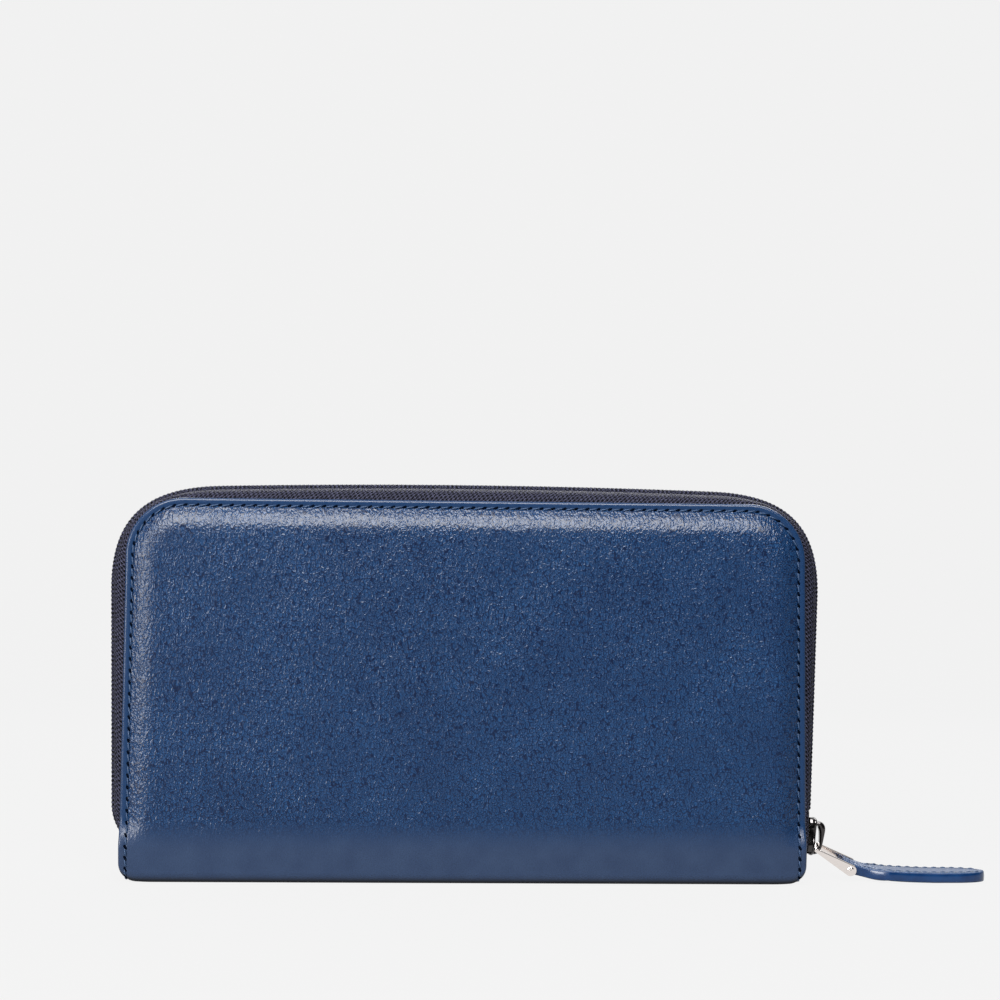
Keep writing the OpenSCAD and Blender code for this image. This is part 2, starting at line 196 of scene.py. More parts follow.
def rounded_prism(outline, low, high, edge, steps=3):
    """A flat plate from an outline in its own X and Y, with both rims rounded by edge."""
    o = np.asarray(outline, float)
    prev, nxt = np.roll(o, 1, 0), np.roll(o, -1, 0)
    d = nxt - prev
    d /= np.linalg.norm(d, axis=1)[:, None] + 1e-9          # no division by nothing at a doubled point
    inward = np.stack([-d[:, 1], d[:, 0]], 1)
    quarter = np.linspace(0, math.pi / 2, steps + 1)
    inset = edge * (1 - np.concatenate([np.sin(quarter), np.cos(quarter)]))
    height = np.concatenate([low + edge * (1 - np.cos(quarter)), high - edge * (1 - np.sin(quarter))])
    return loft([np.column_stack([o + inward * i, np.full(len(o), h)]) for i, h in zip(inset, height)])


def ellipsoid(centre, axes, rows=5, cols=8):
    """axes are three vectors, the half-lengths of a small rounded bead."""
    centre, axes = np.asarray(centre, float), np.asarray(axes, float)
    verts = [centre + axes[2]]
    for i in range(1, rows):
        a = math.pi * i / rows
        for b in (math.tau * j / cols for j in range(cols)):
            ring = axes[0] * math.cos(b) + axes[1] * math.sin(b)
            verts.append(centre + ring * math.sin(a) + axes[2] * math.cos(a))
    verts.append(centre - axes[2])
    faces = [[0, 1 + j, 1 + (j + 1) % cols] for j in range(cols)]
    for i in range(rows - 2):
        for j in range(cols):
            a, b = 1 + i * cols + j, 1 + i * cols + (j + 1) % cols
            faces.append([a, a + cols, b + cols, b])
    last, base = len(verts) - 1, 1 + (rows - 2) * cols
    faces += [[base + j, last, base + (j + 1) % cols] for j in range(cols)]
    return np.array(verts), faces


def bezier(a, b, c, d, n):
    u = np.linspace(0, 1, n)[:, None]
    a, b, c, d = (np.asarray(p, float) for p in (a, b, c, d))
    return (1 - u) ** 3 * a + 3 * u * (1 - u) ** 2 * b + 3 * u * u * (1 - u) * c + u ** 3 * d


# ---------- materials ----------


class Nodes:
    """A short way to write a material's nodes."""

    def __init__(self, name):
        self.mat = bpy.data.materials.new(name)
        self.mat.use_nodes = True
        self.tree = self.mat.node_tree
        self.tree.nodes.clear()
        self.out = self.tree.nodes.new("ShaderNodeOutputMaterial")

    def add(self, kind, inputs=None, out=0, **props):
        n = self.tree.nodes.new("ShaderNode" + kind)
        for k, v in props.items():
            setattr(n, k, v)
        for k, v in (inputs or {}).items():
            if isinstance(v, bpy.types.NodeSocket):
                self.tree.links.new(v, n.inputs[k])
            else:
                n.inputs[k].default_value = v
        return n.outputs[out]

    def math(self, op, a, b=0.0, c=0.0):
        return self.add("Math", {0: a, 1: b, 2: c}, operation=op)

    def mul(self, a, b):
        return self.math("MULTIPLY", a, b)

    def plus(self, a, b):
        return self.math("ADD", a, b)

    def minus(self, a, b):
        return self.math("SUBTRACT", a, b)

    def sine(self, a):
        return self.math("SINE", a)

    def millimetres(self):
        """The point in the object's own axes, in millimetres."""
        return self.scale(self.add("TexCoord", out=3), 1000.0)

    def axes(self, v):
        return (self.add("SeparateXYZ", {0: v}, out=k) for k in range(3))

    def vmath(self, op, a, b=(0, 0, 0), out=0):
        return self.add("VectorMath", {0: a, 1: b}, operation=op, out=out)

    def scale(self, v, k):
        return self.add("VectorMath", {0: v, 3: k}, operation="SCALE")

    def ramp(self, v, a, b, c=0.0, d=1.0, soft=False):
        kind = "SMOOTHSTEP" if soft else "LINEAR"
        return self.add("MapRange", {0: v, 1: a, 2: b, 3: c, 4: d}, clamp=True, interpolation_type=kind)

    def mix(self, f, a, b):
        n = self.tree.nodes.new("ShaderNodeMix")
        n.data_type = "RGBA"
        for k, v in ((0, f), (6, a), (7, b)):
            if isinstance(v, bpy.types.NodeSocket):
                self.tree.links.new(v, n.inputs[k])
            else:
                n.inputs[k].default_value = v if k == 0 else (*v, 1)
        return n.outputs[2]

    def noise(self, vec, scale, detail=2.0, rough=0.5, out=0):
        ins = {"Vector": vec, "Scale": scale, "Detail": detail, "Roughness": rough}
        return self.add("TexNoise", ins, out=out)

    def cells(self, vec, scale=1.0):
        """Distance to the edge of random cells."""
        ins = {"Vector": vec, "Scale": scale, "Randomness": 1.0}
        return self.add("TexVoronoi", ins, feature="DISTANCE_TO_EDGE")

    def bump(self, height, strength, distance):
        return self.add("Bump", {"Strength": strength, "Distance": distance, "Height": height})

    def surface(self, **ins):
        p = self.tree.nodes.new("ShaderNodeBsdfPrincipled")
        for k, v in ins.items():
            s = p.inputs[k.replace("_", " ")]
            if isinstance(v, bpy.types.NodeSocket):
                self.tree.links.new(v, s)
            else:
                s.default_value = v if not isinstance(v, tuple) or len(v) == 4 else (*v, 1)
        self.tree.links.new(p.outputs[0], self.out.inputs[0])
        return self.mat


# Painted shadow: near-black colour for the turned-under bottom edge of the leather.
UNDERSIDE_PAINTED_SHADOW = (0.0004, 0.001, 0.003)
# Painted reflection of the pale floor: greyer, lighter blues for the lower band above the spine, mottled at
# random.
FLOOR_REFLECTION_BLUES = (0.0098, 0.0178, 0.0395), (0.013, 0.0228, 0.0472)
BORDER_BLUE = (0.0048, 0.020, 0.056)


def leather(name, deep, pale, grain, rough, spec, attribute=True):
    """Boarded calf: small pebbles with creases that run up and down, strong in some places and
    faint in others. Its colour is painted darker in the creases as shade and lighter on each pebble's rim as
    highlight.
    The grain attribute's z is 1 where the leather is smooth and 2 on the turned-under bottom edge, which gets
    a painted shadow."""
    n = Nodes(name)
    if attribute:
        raw = n.add("Attribute", out=1, attribute_name="grain", attribute_type="GEOMETRY")
        x, y, kind = n.axes(raw)
        vec = n.add("CombineXYZ", {0: x, 1: y, 2: 0.0})
        keep = n.ramp(kind, 0.0, 1.0, 1.0, 0.12)
        # lit falls to 0.04 on the turned-under bottom edge, which gets a painted shadow in its colour.
        lit = n.ramp(kind, 1.05, 2.0, 1.0, 0.04)
        # low marks the lower band above the spine, where the colour gets a painted reflection of the pale
        # floor.
        low = n.ramp(n.math("ABSOLUTE", y), 29.0, 19.0, 0.0, 0.85, soft=True)
    else:
        vec = n.millimetres()
        keep = lit = 1.0
    wob = n.vmath("SUBTRACT", n.noise(vec, 0.5, 2.0, out=1), (0.5, 0.5, 0.5))
    bent = n.vmath("ADD", vec, n.scale(wob, 1.2))
    tall = n.vmath("MULTIPLY", bent, (1.25, 0.85, 1.0))
    cells = n.cells(tall)
    pebble = n.ramp(cells, 0.0, 0.4, soft=True)
    slant = n.add("Mapping", {"Vector": bent, "Rotation": (0, 0, 0.45), "Scale": (1.0, 0.33, 1.0)})
    crease = n.ramp(n.cells(slant, 0.85), 0.0, 0.3, soft=True)
    patch = n.ramp(n.noise(vec, 0.05, 3.0), 0.36, 0.66, 0.78, 1.0)
    fine = n.noise(vec, 2.0, 2.0, 0.5)
    height = n.plus(n.mul(pebble, 0.5), n.mul(crease, 0.5))
    height = n.mul(n.mul(height, patch), keep)
    # rim_glint: a light ring inside each pebble, a painted highlight along the ridges.
    rim_glint = n.mul(n.ramp(cells, 0.05, 0.13), n.ramp(cells, 0.34, 0.16))
    rim_glint = n.mul(n.mul(rim_glint, patch), keep)
    # colour by height is painted shade, darker in the creases; by rim_glint painted highlight; the slow noise
    # adds random tone.
    tone = n.plus(n.mul(height, 0.35), n.mul(rim_glint, 0.75))
    tone = n.plus(tone, n.ramp(n.noise(vec, 0.02, 2.0), 0.3, 0.7, 0.0, 0.08))
    colour = n.mix(tone, deep, pale)
    gloss = n.ramp(n.noise(vec, 0.9, 3.0), 0.3, 0.7, rough - 0.03, rough + 0.05)
    if attribute:
        colour = n.mix(n.ramp(kind, 0.0, 1.0, 0.0, 0.6), colour, BORDER_BLUE)
        # lower band: colour mixed towards the painted reflection of the pale floor
        floor_reflection = n.mix(n.ramp(n.noise(vec, 0.15, 3.0), 0.3, 0.7), *FLOOR_REFLECTION_BLUES)
        colour = n.mix(n.mul(low, lit), colour, floor_reflection)
        # the turned-under bottom edge takes a near-black painted shadow
        colour = n.mix(lit, UNDERSIDE_PAINTED_SHADOW, colour)
        gloss = n.plus(gloss, n.ramp(lit, 0.0, 1.0, 0.7, 0.0))
    relief = n.plus(height, n.mul(fine, 0.1))
    return n.surface(Base_Color=colour, Roughness=gloss, Normal=n.bump(relief, grain, 0.00014),
                     Specular_IOR_Level=spec)


def smooth_leather(name, deep, pale, rough=0.45):
    n = Nodes(name)
    vec = n.millimetres()
    height = n.plus(n.ramp(n.cells(vec, 2.2), 0.0, 0.25), n.mul(n.noise(vec, 1.2, 3.0), 0.6))
    colour = n.mix(n.ramp(n.noise(vec, 0.06, 3.0), 0.3, 0.7), deep, pale)
    return n.surface(Base_Color=colour, Roughness=n.ramp(height, 0.0, 1.6, rough + 0.08, rough - 0.04),
                     Normal=n.bump(height, 0.22, 0.0001), Coat_Weight=0.06, Coat_Roughness=0.4)


def herringbone(name, dark, light, band=2.7):
    """Zip tape. The grain attribute holds the way along the tape and the way across it."""
    n = Nodes(name)
    raw = n.add("Attribute", out=1, attribute_name="grain", attribute_type="GEOMETRY")
    u, v, _ = n.axes(raw)
    fuzz = n.noise(n.millimetres(), 1.1, 3.0)
    v = n.plus(v, n.mul(n.minus(fuzz, 0.5), 0.35))
    zig = n.math("PINGPONG", v, band)
    rib = n.sine(n.mul(n.plus(n.mul(u, 0.9), n.mul(zig, 1.05)), math.tau))
    yarn = n.sine(n.mul(n.minus(n.mul(u, 0.75), n.mul(zig, 0.35)), math.tau))
    height = n.plus(n.ramp(rib, -0.3, 0.85), n.mul(n.ramp(yarn, -0.8, 0.6), 0.5))
    tone = n.mul(n.ramp(height, 0.1, 1.3), n.ramp(fuzz, 0.35, 0.65, 0.6, 1.0))
    colour = n.mix(tone, dark, light)
    return n.surface(Base_Color=colour, Roughness=0.62, Normal=n.bump(height, 0.8, 0.0004),
                     Specular_IOR_Level=0.05)


def twill(name, dark, light, rib=0.5):
    n = Nodes(name)
    vec = n.millimetres()
    x, _, z = n.axes(vec)
    wave = n.sine(n.mul(n.plus(x, z), math.tau / rib))
    yarn = n.sine(n.mul(n.minus(x, z), 4 * math.pi / rib))
    height = n.plus(n.ramp(wave, -1.0, 1.0), n.mul(n.ramp(yarn, -1.0, 1.0), 0.4))
    fade = n.ramp(n.noise(vec, 0.4, 3.0), 0.3, 0.7, 0.5, 0.9)
    colour = n.mix(n.mul(height, fade), dark, light)
    return n.surface(Base_Color=colour, Roughness=0.7, Normal=n.bump(height, 0.4, 0.0001),
                     Sheen_Weight=0.3, Sheen_Roughness=0.35, Specular_IOR_Level=0.3)


def metal(name, tint=(0.83, 0.77, 0.735), rough=0.07):
    n = Nodes(name)
    vec = n.millimetres()
    streak = n.noise(n.vmath("MULTIPLY", vec, (0.5, 3.0, 3.0)), 1.4, 4.0, 0.6)
    colour = n.mix(n.ramp(streak, 0.3, 0.7, 0.0, 0.35), tint, tuple(c * 0.82 for c in tint))
    gloss = n.ramp(streak, 0.3, 0.75, rough, rough + 0.12)
    return n.surface(Base_Color=colour, Metallic=1.0, Roughness=gloss,
                     Normal=n.bump(n.noise(vec, 0.8, 2.0), 0.08, 0.0002))


def nylon(name, dark, light, rough=0.35, spec=0.5):
    n = Nodes(name)
    vec = n.millimetres()
    spots = n.noise(vec, 1.6, 3.0)
    colour, gloss = n.mix(n.ramp(spots, 0.3, 0.7), dark, light), n.ramp(spots, 0.3, 0.7, rough, rough + 0.18)
    return n.surface(Base_Color=colour, Roughness=gloss,
                     Normal=n.bump(n.noise(vec, 4.0, 2.0), 0.12, 0.0001), Specular_IOR_Level=spec)


def thread(name, dark, light):
    n = Nodes(name)
    x, y, z = n.axes(n.millimetres())
    twist = n.sine(n.mul(n.plus(n.plus(x, z), n.mul(y, 0.7)), 16.0))
    colour = n.mix(n.ramp(twist, -1.0, 1.0), dark, light)
    return n.surface(Base_Color=colour, Roughness=0.5,
                     Normal=n.bump(twist, 0.35, 0.0001), Specular_IOR_Level=0.3)


def paint(name, dark, light):
    """Glossy painted leather edge, a little uneven."""
    n = Nodes(name)
    lumps = n.noise(n.millimetres(), 0.35, 3.0)
    colour, gloss = n.mix(n.ramp(lumps, 0.3, 0.7), dark, light), n.ramp(lumps, 0.3, 0.7, 0.16, 0.26)
    return n.surface(Base_Color=colour, Roughness=gloss, Normal=n.bump(lumps, 0.25, 0.0003),
                     Coat_Weight=0.1, Coat_Roughness=0.12, Specular_IOR_Level=0.35)


def wadding(name, dark, light, scale=0.8):
    n = Nodes(name)
    f = n.noise(n.millimetres(), scale, 5.0, 0.7)
    colour = n.mix(n.ramp(f, 0.3, 0.7), dark, light)
    return n.surface(Base_Color=colour, Roughness=0.9, Normal=n.bump(f, 0.5, 0.0004))


M_LEATHER = leather("blue_grained_leather", (0.0004, 0.0030, 0.0145), (0.0064, 0.0268, 0.0725),
                    grain=1.0, rough=0.245, spec=0.23)
M_TONGUE = leather("blue_tongue_leather", (0.006, 0.018, 0.050), (0.018, 0.040, 0.090),
                   grain=0.6, rough=0.40, spec=0.24, attribute=False)
M_POCKET = smooth_leather("blue_pocket_leather", (0.012, 0.038, 0.105), (0.024, 0.058, 0.145))
M_LINING = twill("blue_twill_lining", (0.018, 0.034, 0.075), (0.050, 0.080, 0.150))
M_TAPE = herringbone("zip_tape_herringbone", (0.0002, 0.0002, 0.0008), (0.035, 0.036, 0.060))
M_COIL = nylon("zip_coil_nylon", (0.010, 0.010, 0.014), (0.030, 0.031, 0.040))
M_STEEL = metal("slider_nickel")
# Slider body and bail: the same nickel, tinted near black as a painted reflection of dark surroundings.
M_SLIDER = metal("slider_nickel_painted_dark_reflection", (0.065, 0.061, 0.061), 0.08)
M_THREAD = thread("blue_thread", (0.004, 0.015, 0.042), (0.018, 0.040, 0.085))
M_HOLE = nylon("stitch_hole_shadow", (0.0005, 0.001, 0.003), (0.001, 0.002, 0.005), 0.8, 0.0)
M_PAINT = paint("blue_edge_paint", (0.0005, 0.009, 0.038), (0.0012, 0.017, 0.060))
M_FOAM = wadding("white_wadding", (0.62, 0.62, 0.58), (0.82, 0.82, 0.78))
M_BOARD = wadding("grey_card", (0.30, 0.28, 0.24), (0.42, 0.40, 0.35), 2.0)

# ---------- the outer leather ----------


def girth(s):
    """Place and outward normal, in Y and Z, at a distance s round the wallet from the spine's middle."""
    s = np.asarray(s, float)
    a = clamp((s - SPINE) / FOLD, 0, math.pi / 2)
    y = np.where(s < SPINE, s, SPINE + FOLD * np.sin(a))
    z = np.where(s < SPINE, 0, FOLD - FOLD * np.cos(a)) + np.maximum(s - SPINE - ARC, 0)
    return y, z, np.sin(a), -np.cos(a)


def border_drop(s):
    """How far the stitched border lies below the padded level. The padding ends above the spine."""
    return 0.35 + (CROWN - 0.35) * smooth(s, 20.5, 28.5)


def lean(s):
    """The unpadded leather above the spine draws in a little."""
    return 0.75 * clamp((s - SPINE) / ARC) * clamp((26.5 - s) / 12.5) ** 2


def outer_depth(d, s, u=None):
    """Depth of the leather's outer face below the padded level, at d from its edge."""
    t = clamp((d - 2.15) / 6.8)
    rise = 1 - (1 - t) ** 1.7
    depth = border_drop(s) * (1 - rise) + lean(s)
    if u is not None:
        dimple = 0.62 + 0.38 * np.cos(math.tau * u / PITCH)
        depth = depth + 0.2 * np.exp(-((d - STITCH_IN) / 0.36) ** 2) * dimple
        depth = depth + 0.16 * np.exp(-((d - 3.2) / 0.7) ** 2) * (dimple - 0.3) * smooth(s, 20, 27)
    return depth


def place(side, x, s, depth):
    """Point of the leather in space. The ends of the spine are rounded upward."""
    y, z, ny, nz = girth(s)
    y, z = y - depth * ny, z - depth * nz
    end = clamp((HALF - np.abs(x)) / 4.6)
    lift = 4.4 * (1 - np.sqrt(1 - (1 - end) ** 2))
    z = z + lift * clamp(1 - z / 12.0) ** 1.6
    return np.stack([x, side * y, z], -1)


# Stations round the edge, from the spine up one end, along the top and down the other end
SIDE_RUN, TOP_RUN = GIRTH - CORNER, HALF - CORNER
CORNER_U = (CORNER - STITCH_IN) * math.pi / 2
EDGE_U = 2 * SIDE_RUN + 2 * TOP_RUN + 2 * CORNER_U


def at_edge(u, d):
    """Flat position (x, s) at u along the stitch line and d from the edge."""
    u, d = np.broadcast_arrays(np.asarray(u, float), np.asarray(d, float))
    marks = np.cumsum([SIDE_RUN, CORNER_U, 2 * TOP_RUN, CORNER_U])
    a = clamp((u - marks[0]) / CORNER_U) * math.pi / 2
    b = clamp((u - marks[2]) / CORNER_U) * math.pi / 2
    r, spots = CORNER - d, [u < mark for mark in marks]
    top_x = u - marks[1] - TOP_RUN
    x = np.select(spots, [-HALF + d, -TOP_RUN - r * np.cos(a), top_x, TOP_RUN + r * np.sin(b)], HALF - d)
    s = np.select(spots, [u, SIDE_RUN + r * np.sin(a), GIRTH - d, SIDE_RUN + r * np.cos(b)], EDGE_U - u)
    return x, s


def edge_roll(d, r):
    return r - np.sqrt(np.maximum(r * r - np.maximum(r - d, 0) ** 2, 0))


def outer_leather(side, name):
    near = [0, 0.03, 0.12, 0.26, 0.5, 0.8, 1.2, 1.5, 1.7, 1.88, STITCH_IN, 2.22, 2.4, 2.6, 2.85, 3.15,
            3.5, 3.9, 4.4, 5.0, 5.6, 6.3, 7.0, 7.8, 9, 10.5, 12.2, 14, CORNER]
    ds = np.array(near[::-1] + near)
    inner = np.array([False] * len(near) + [True] * len(near))
    n_side, n_top, n_corner = 130, 200, 30
    u = np.concatenate([
        np.linspace(0, SIDE_RUN, n_side)[:-1], SIDE_RUN + np.linspace(0, CORNER_U, n_corner)[:-1],
        SIDE_RUN + CORNER_U + np.linspace(0, 2 * TOP_RUN, n_top)[:-1],
        EDGE_U - SIDE_RUN - CORNER_U + np.linspace(0, CORNER_U, n_corner)[:-1],
        EDGE_U - SIDE_RUN + np.linspace(0, SIDE_RUN, n_side)])
    U, D = np.meshgrid(u, ds, indexing="ij")
    X, S = at_edge(U, D)
    under = outer_depth(D, S) + LEATHER - edge_roll(D, 0.45)
    deep = np.where(inner, under, outer_depth(D, S, U) + edge_roll(D, 0.75))
    ring = place(side, X, S, deep).reshape(-1, 3)
    rows, cols = U.shape
    faces = grid_faces(rows, cols, flip=side > 0)
    # z is 1 on smooth leather, and 1 more on the turned-under bottom edge, where the material paints a
    # shadow.
    smooth_and_shadow_flag = np.maximum(1 - smooth(S, 20, 30), 1 - smooth(D, 1.7, 2.6)) + 1 - smooth(S, 10.4, 12.6)
    grain = np.stack([X, side * S, smooth_and_shadow_flag], -1).reshape(-1, 3)
    # middle of the cover, its outer and inner faces
    first_top = n_side + n_corner - 2
    mid_x = u[first_top:first_top + n_top] - SIDE_RUN - CORNER_U - TOP_RUN
    MX, MS = np.meshgrid(mid_x, u[:n_side], indexing="ij")
    count = len(ring)
    all_v, all_g = [ring], [grain]
    for k, extra in enumerate((0.0, LEATHER)):
        smooth_and_shadow_flag = 2 - smooth(MS, 20, 30) - smooth(MS, 10.4, 12.6)
        all_v.append(place(side, MX, MS, outer_depth(CORNER, MS) + extra).reshape(-1, 3))
        all_g.append(np.stack([MX, side * MS, smooth_and_shadow_flag], -1).reshape(-1, 3))
        faces += grid_faces(*MX.shape, offset=count + k * MX.size, flip=(side > 0) == (k == 0))
    half = cols // 2
    for i in (0, rows - 1):                   # cut face under the spine
        b = i * cols
        for k in range(half - 1):
            f = [b + k, b + k + 1, b + cols - 2 - k, b + cols - 1 - k]
            faces.append(f if (i == 0) == (side < 0) else f[::-1])
    for i in range(MX.shape[0] - 1):
        a, c = count + i * MX.shape[1], count + (i + 1) * MX.shape[1]
        f = [a, c, c + MX.size, a + MX.size]
        faces.append(f if side < 0 else f[::-1])
    v, f, g = weld(np.concatenate(all_v), faces, np.concatenate(all_g))
    return mesh_object(name, v, f, M_LEATHER, grain=g, crease=50)


def stitch_frame(side, u, d, lift):
    x, s = at_edge(u, d)
    return place(side, x, s, outer_depth(np.asarray(d, float), s) - lift)


def stitches(side):
    threads, holes = [], []
    along = np.array([0, 0.1, 0.28, 0.5, 0.72, 0.9, 1.0])
    rise = np.array([-0.3, 0.0, 0.12, 0.15, 0.1, -0.04, -0.3])
    thick = np.array([0.14, 0.22, 0.24, 0.23, 0.22, 0.19, 0.12])
    for i in range(int(EDGE_U // PITCH)):
        u0 = (i + 0.5) * PITCH
        u = u0 + 0.5 + along * (PITCH - 0.9)
        d = STITCH_IN + 0.22 - 0.4 * along
        path = stitch_frame(side, u, d, rise)
        threads.append(tube(path, thick, 6))
        c = stitch_frame(side, u0, STITCH_IN, -0.10)
        t = stitch_frame(side, u0 + 0.1, STITCH_IN, -0.10) - c
        w = stitch_frame(side, u0, STITCH_IN + 0.1, -0.10) - c
        n = stitch_frame(side, u0, STITCH_IN, 0.0) - c
        t, w, n = (v / np.linalg.norm(v) for v in (t, w, n))
        holes.append(ellipsoid(c, [0.72 * t - 0.3 * w, 0.46 * w, 0.3 * n]))
    return gather(threads), gather(holes)


def bend(ob):
    """Bakes the piece's placement into its points."""
    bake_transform(ob)


for side, word in ((-1, "front"), (1, "back")):
    skin = outer_leather(side, word + "_outer_leather")
    bend(skin)
    nodes = [word + "_cover_leather"] + (["spine_leather"] if side < 0 else [])
    finish_piece(skin, None, nodes)
    for part, skin, mat in zip(("edge_stitches", "stitch_holes"), stitches(side), (M_THREAD, M_HOLE)):
        ob = mesh_object(f"{word}_{part}", *skin, mat)
        bend(ob)

# ---------- the padding under the leather ----------

PAD_EDGE, PAD_LOW, PAD_BACK = 6.7, 9.6, 9.15


def pad_ring(d, y=None):
    """Outline of the pad at d from the cover's edge, laid under the leather unless y is given."""
    a = np.linspace(0, math.pi / 2, 9)[1:-1]
    r, low = CORNER - d, PAD_LOW + d - PAD_EDGE
    x, z = HALF - CORNER, TOP - CORNER
    half = np.concatenate([
        [(x + r, h) for h in np.linspace(low, z, 24)], np.stack([x + r * np.cos(a), z + r * np.sin(a)], 1),
        [(w, z + r) for w in np.linspace(x, 0, 20)[:-1]]])
    foot = [(w, low) for w in np.linspace(-x - r, x + r, 40)[1:-1]]
    flat = np.concatenate([half, [(0, z + r)], (half * [-1, 1])[::-1], foot])
    if y is None:
        s = flat[:, 1] - FOLD + SPINE + ARC
        y = CROWN_Y - LEATHER - 0.12 - outer_depth(d, s)
    return np.stack([flat[:, 0], np.broadcast_to(y, len(flat)), flat[:, 1]], 1)


for side, word in ((-1, "front"), (1, "back")):
    rings = [pad_ring(7.6, PAD_BACK), pad_ring(6.95, PAD_BACK + 0.08), pad_ring(PAD_EDGE, PAD_BACK + 0.5)]
    rings += [pad_ring(d) for d in (6.8, 7.2, 8.2, 9.6, 11.5, 13.5, 15.5)]
    skin = loft(np.array(rings) * [1, side, 1], flip=side < 0)
    pad = piece(word + "_wadding_pad", skin, M_FOAM, word + "_cover", [word + "_padding"], crease=60)

# ---------- the main zip ----------


def top_z(x):
    return 110.3 - (x / TOP_HALF) ** 2


def chain_path():
    """Right leg from the bottom up, round the corner, along the top and down the left leg."""
    tan = math.tan(LEG_TILT)
    leg = [(CHAIN_X - (LEG_TOP - z) * tan, z) for z in np.arange(6, LEG_TOP, 1.0)]
    wide, high = 0.7 * (CHAIN_X - TOP_HALF), 0.7 * (top_z(TOP_HALF) - LEG_TOP)
    right = bezier(
        (CHAIN_X, LEG_TOP), (CHAIN_X + high * tan, LEG_TOP + high),
        (TOP_HALF + wide, top_z(TOP_HALF) - wide * 2 / TOP_HALF), (TOP_HALF, top_z(TOP_HALF)), 44)
    top = [(x, top_z(x)) for x in np.arange(TOP_HALF - 1, -TOP_HALF, -1.0)]
    left = right[::-1] * [-1, 1]
    leg_l = [(-CHAIN_X + (LEG_TOP - z) * 0.024, z) for z in np.arange(LEG_TOP - 1, 21, -1.0)]
    tuck = bezier((-98.1, 21), (-98.0, 17.5), (-97.3, 14.6), (-93.4, 9.8), 16)
    p = np.concatenate([leg, right, top, left[1:], leg_l, tuck[1:]])
    gap = distance_along(p)
    u = np.arange(0, gap[-1], 0.3)
    return np.stack([np.interp(u, gap, p[:, 0]), np.interp(u, gap, p[:, 1])], 1), u


CHAIN, CHAIN_U = chain_path()
ANCHOR = np.stack([
    clamp(CHAIN[:, 0], CORNER - HALF, HALF - CORNER), np.minimum(CHAIN[:, 1], TOP - CORNER)], 1)
REACH = np.linalg.norm(CHAIN - ANCHOR, axis=1)
OUT = (CHAIN - ANCHOR) / REACH[:, None]


def beside(i, r, y):
    """Point at distance r from station i's anchor, and y through the thickness."""
    p = ANCHOR[i] + OUT[i] * np.asarray(r)[..., None]
    return np.stack([p[..., 0], np.broadcast_to(y, p.shape[:-1]), p[..., 1]], -1)


def tape_section(r, y_end, cover):
    """Tape centre line, as (reach, |y|): inside the cover, over its edge, then flat to the chain.
    cover goes from 0, where it stops under the coil, to 1, where it lies over the coil."""
    r_flat, y_flat = r - COIL_T / 2 - TAPE_T / 2, max(4.4, y_end + 0.4)
    inner = np.array([(12.5, TAPE_Y), (14.5, TAPE_Y)])
    over = bezier(
        (CORNER, TAPE_Y), (0.4 * CORNER + 0.6 * r_flat, TAPE_Y), (r_flat, y_flat + 2.2), (r_flat, y_flat), 10)
    under = np.array([(r_flat, y_flat + (y_end - y_flat) * k) for k in np.linspace(0, 1, 14)[1:]])
    side = bezier((r_flat, 4.4), (r_flat, 3.2), (r - 0.55, 2.6), (r - 0.1, 2.55), 7)[1:]
    lid = bezier((r - 0.1, 2.55), (r + 0.42, 2.5), (r + 0.56, 2.0), (r + 0.56, 0.05), 8)[1:]
    return np.concatenate([inner, over, under * (1 - cover) + np.concatenate([side, lid]) * cover])


def zip_tape(side):
    rings, grain = [], []
    for i in range(len(CHAIN)):
        right = CHAIN[i, 0] > 0
        parked = right and CHAIN[i, 1] < (19.9 if side < 0 else 0)
        cover = float(smooth(CHAIN[i, 1], 18.5, 20.5)) if right else 1.0
        if right and CHAIN[i, 1] < 7.6:
            continue
        line = tape_section(REACH[i], 4.75 if parked else 0.35, 0.0 if parked else cover)
        if right:
            line[:, 0] -= 1.0 * max(0.0, 10.5 - CHAIN[i, 1]) * clamp((line[:, 0] - CORNER) / 2.5)
        d = headings(line)
        thin = np.concatenate([np.zeros(12), np.full(13, (TAPE_T / 2 - 0.14) * cover)])[:, None]
        n = np.stack([-d[:, 1], d[:, 0]], 1) * (TAPE_T / 2 - thin)
        tooth = 0.09 * math.cos(math.tau * (CHAIN_U[i] / 1.2 + (0.5 if side > 0 else 0))) * cover
        bump = np.concatenate([np.zeros(18), np.full(7, tooth)])[:, None] * [1.0, 0.0]
        line = line + bump
        loop = np.concatenate([line + n, (line - n)[::-1]])
        across = distance_along(line)
        across = across[-1] - across
        rings.append(beside(i, loop[:, 0], side * loop[:, 1]))
        v = np.concatenate([across, across[::-1]])
        grain.append(np.stack([np.full(len(v), CHAIN_U[i]), v, np.zeros(len(v))], 1))
    return loft(rings, flip=side < 0), np.concatenate(grain)


def on_chain(u, rise, y):
    """Points at distances u along the chain, raised outward from its middle and at y."""
    def at(values):
        return np.interp(u, CHAIN_U, values)
    r = at(REACH) + rise
    ys = np.broadcast_to(y, len(u))
    return np.stack([at(ANCHOR[:, 0]) + at(OUT[:, 0]) * r, ys, at(ANCHOR[:, 1]) + at(OUT[:, 1]) * r], 1)


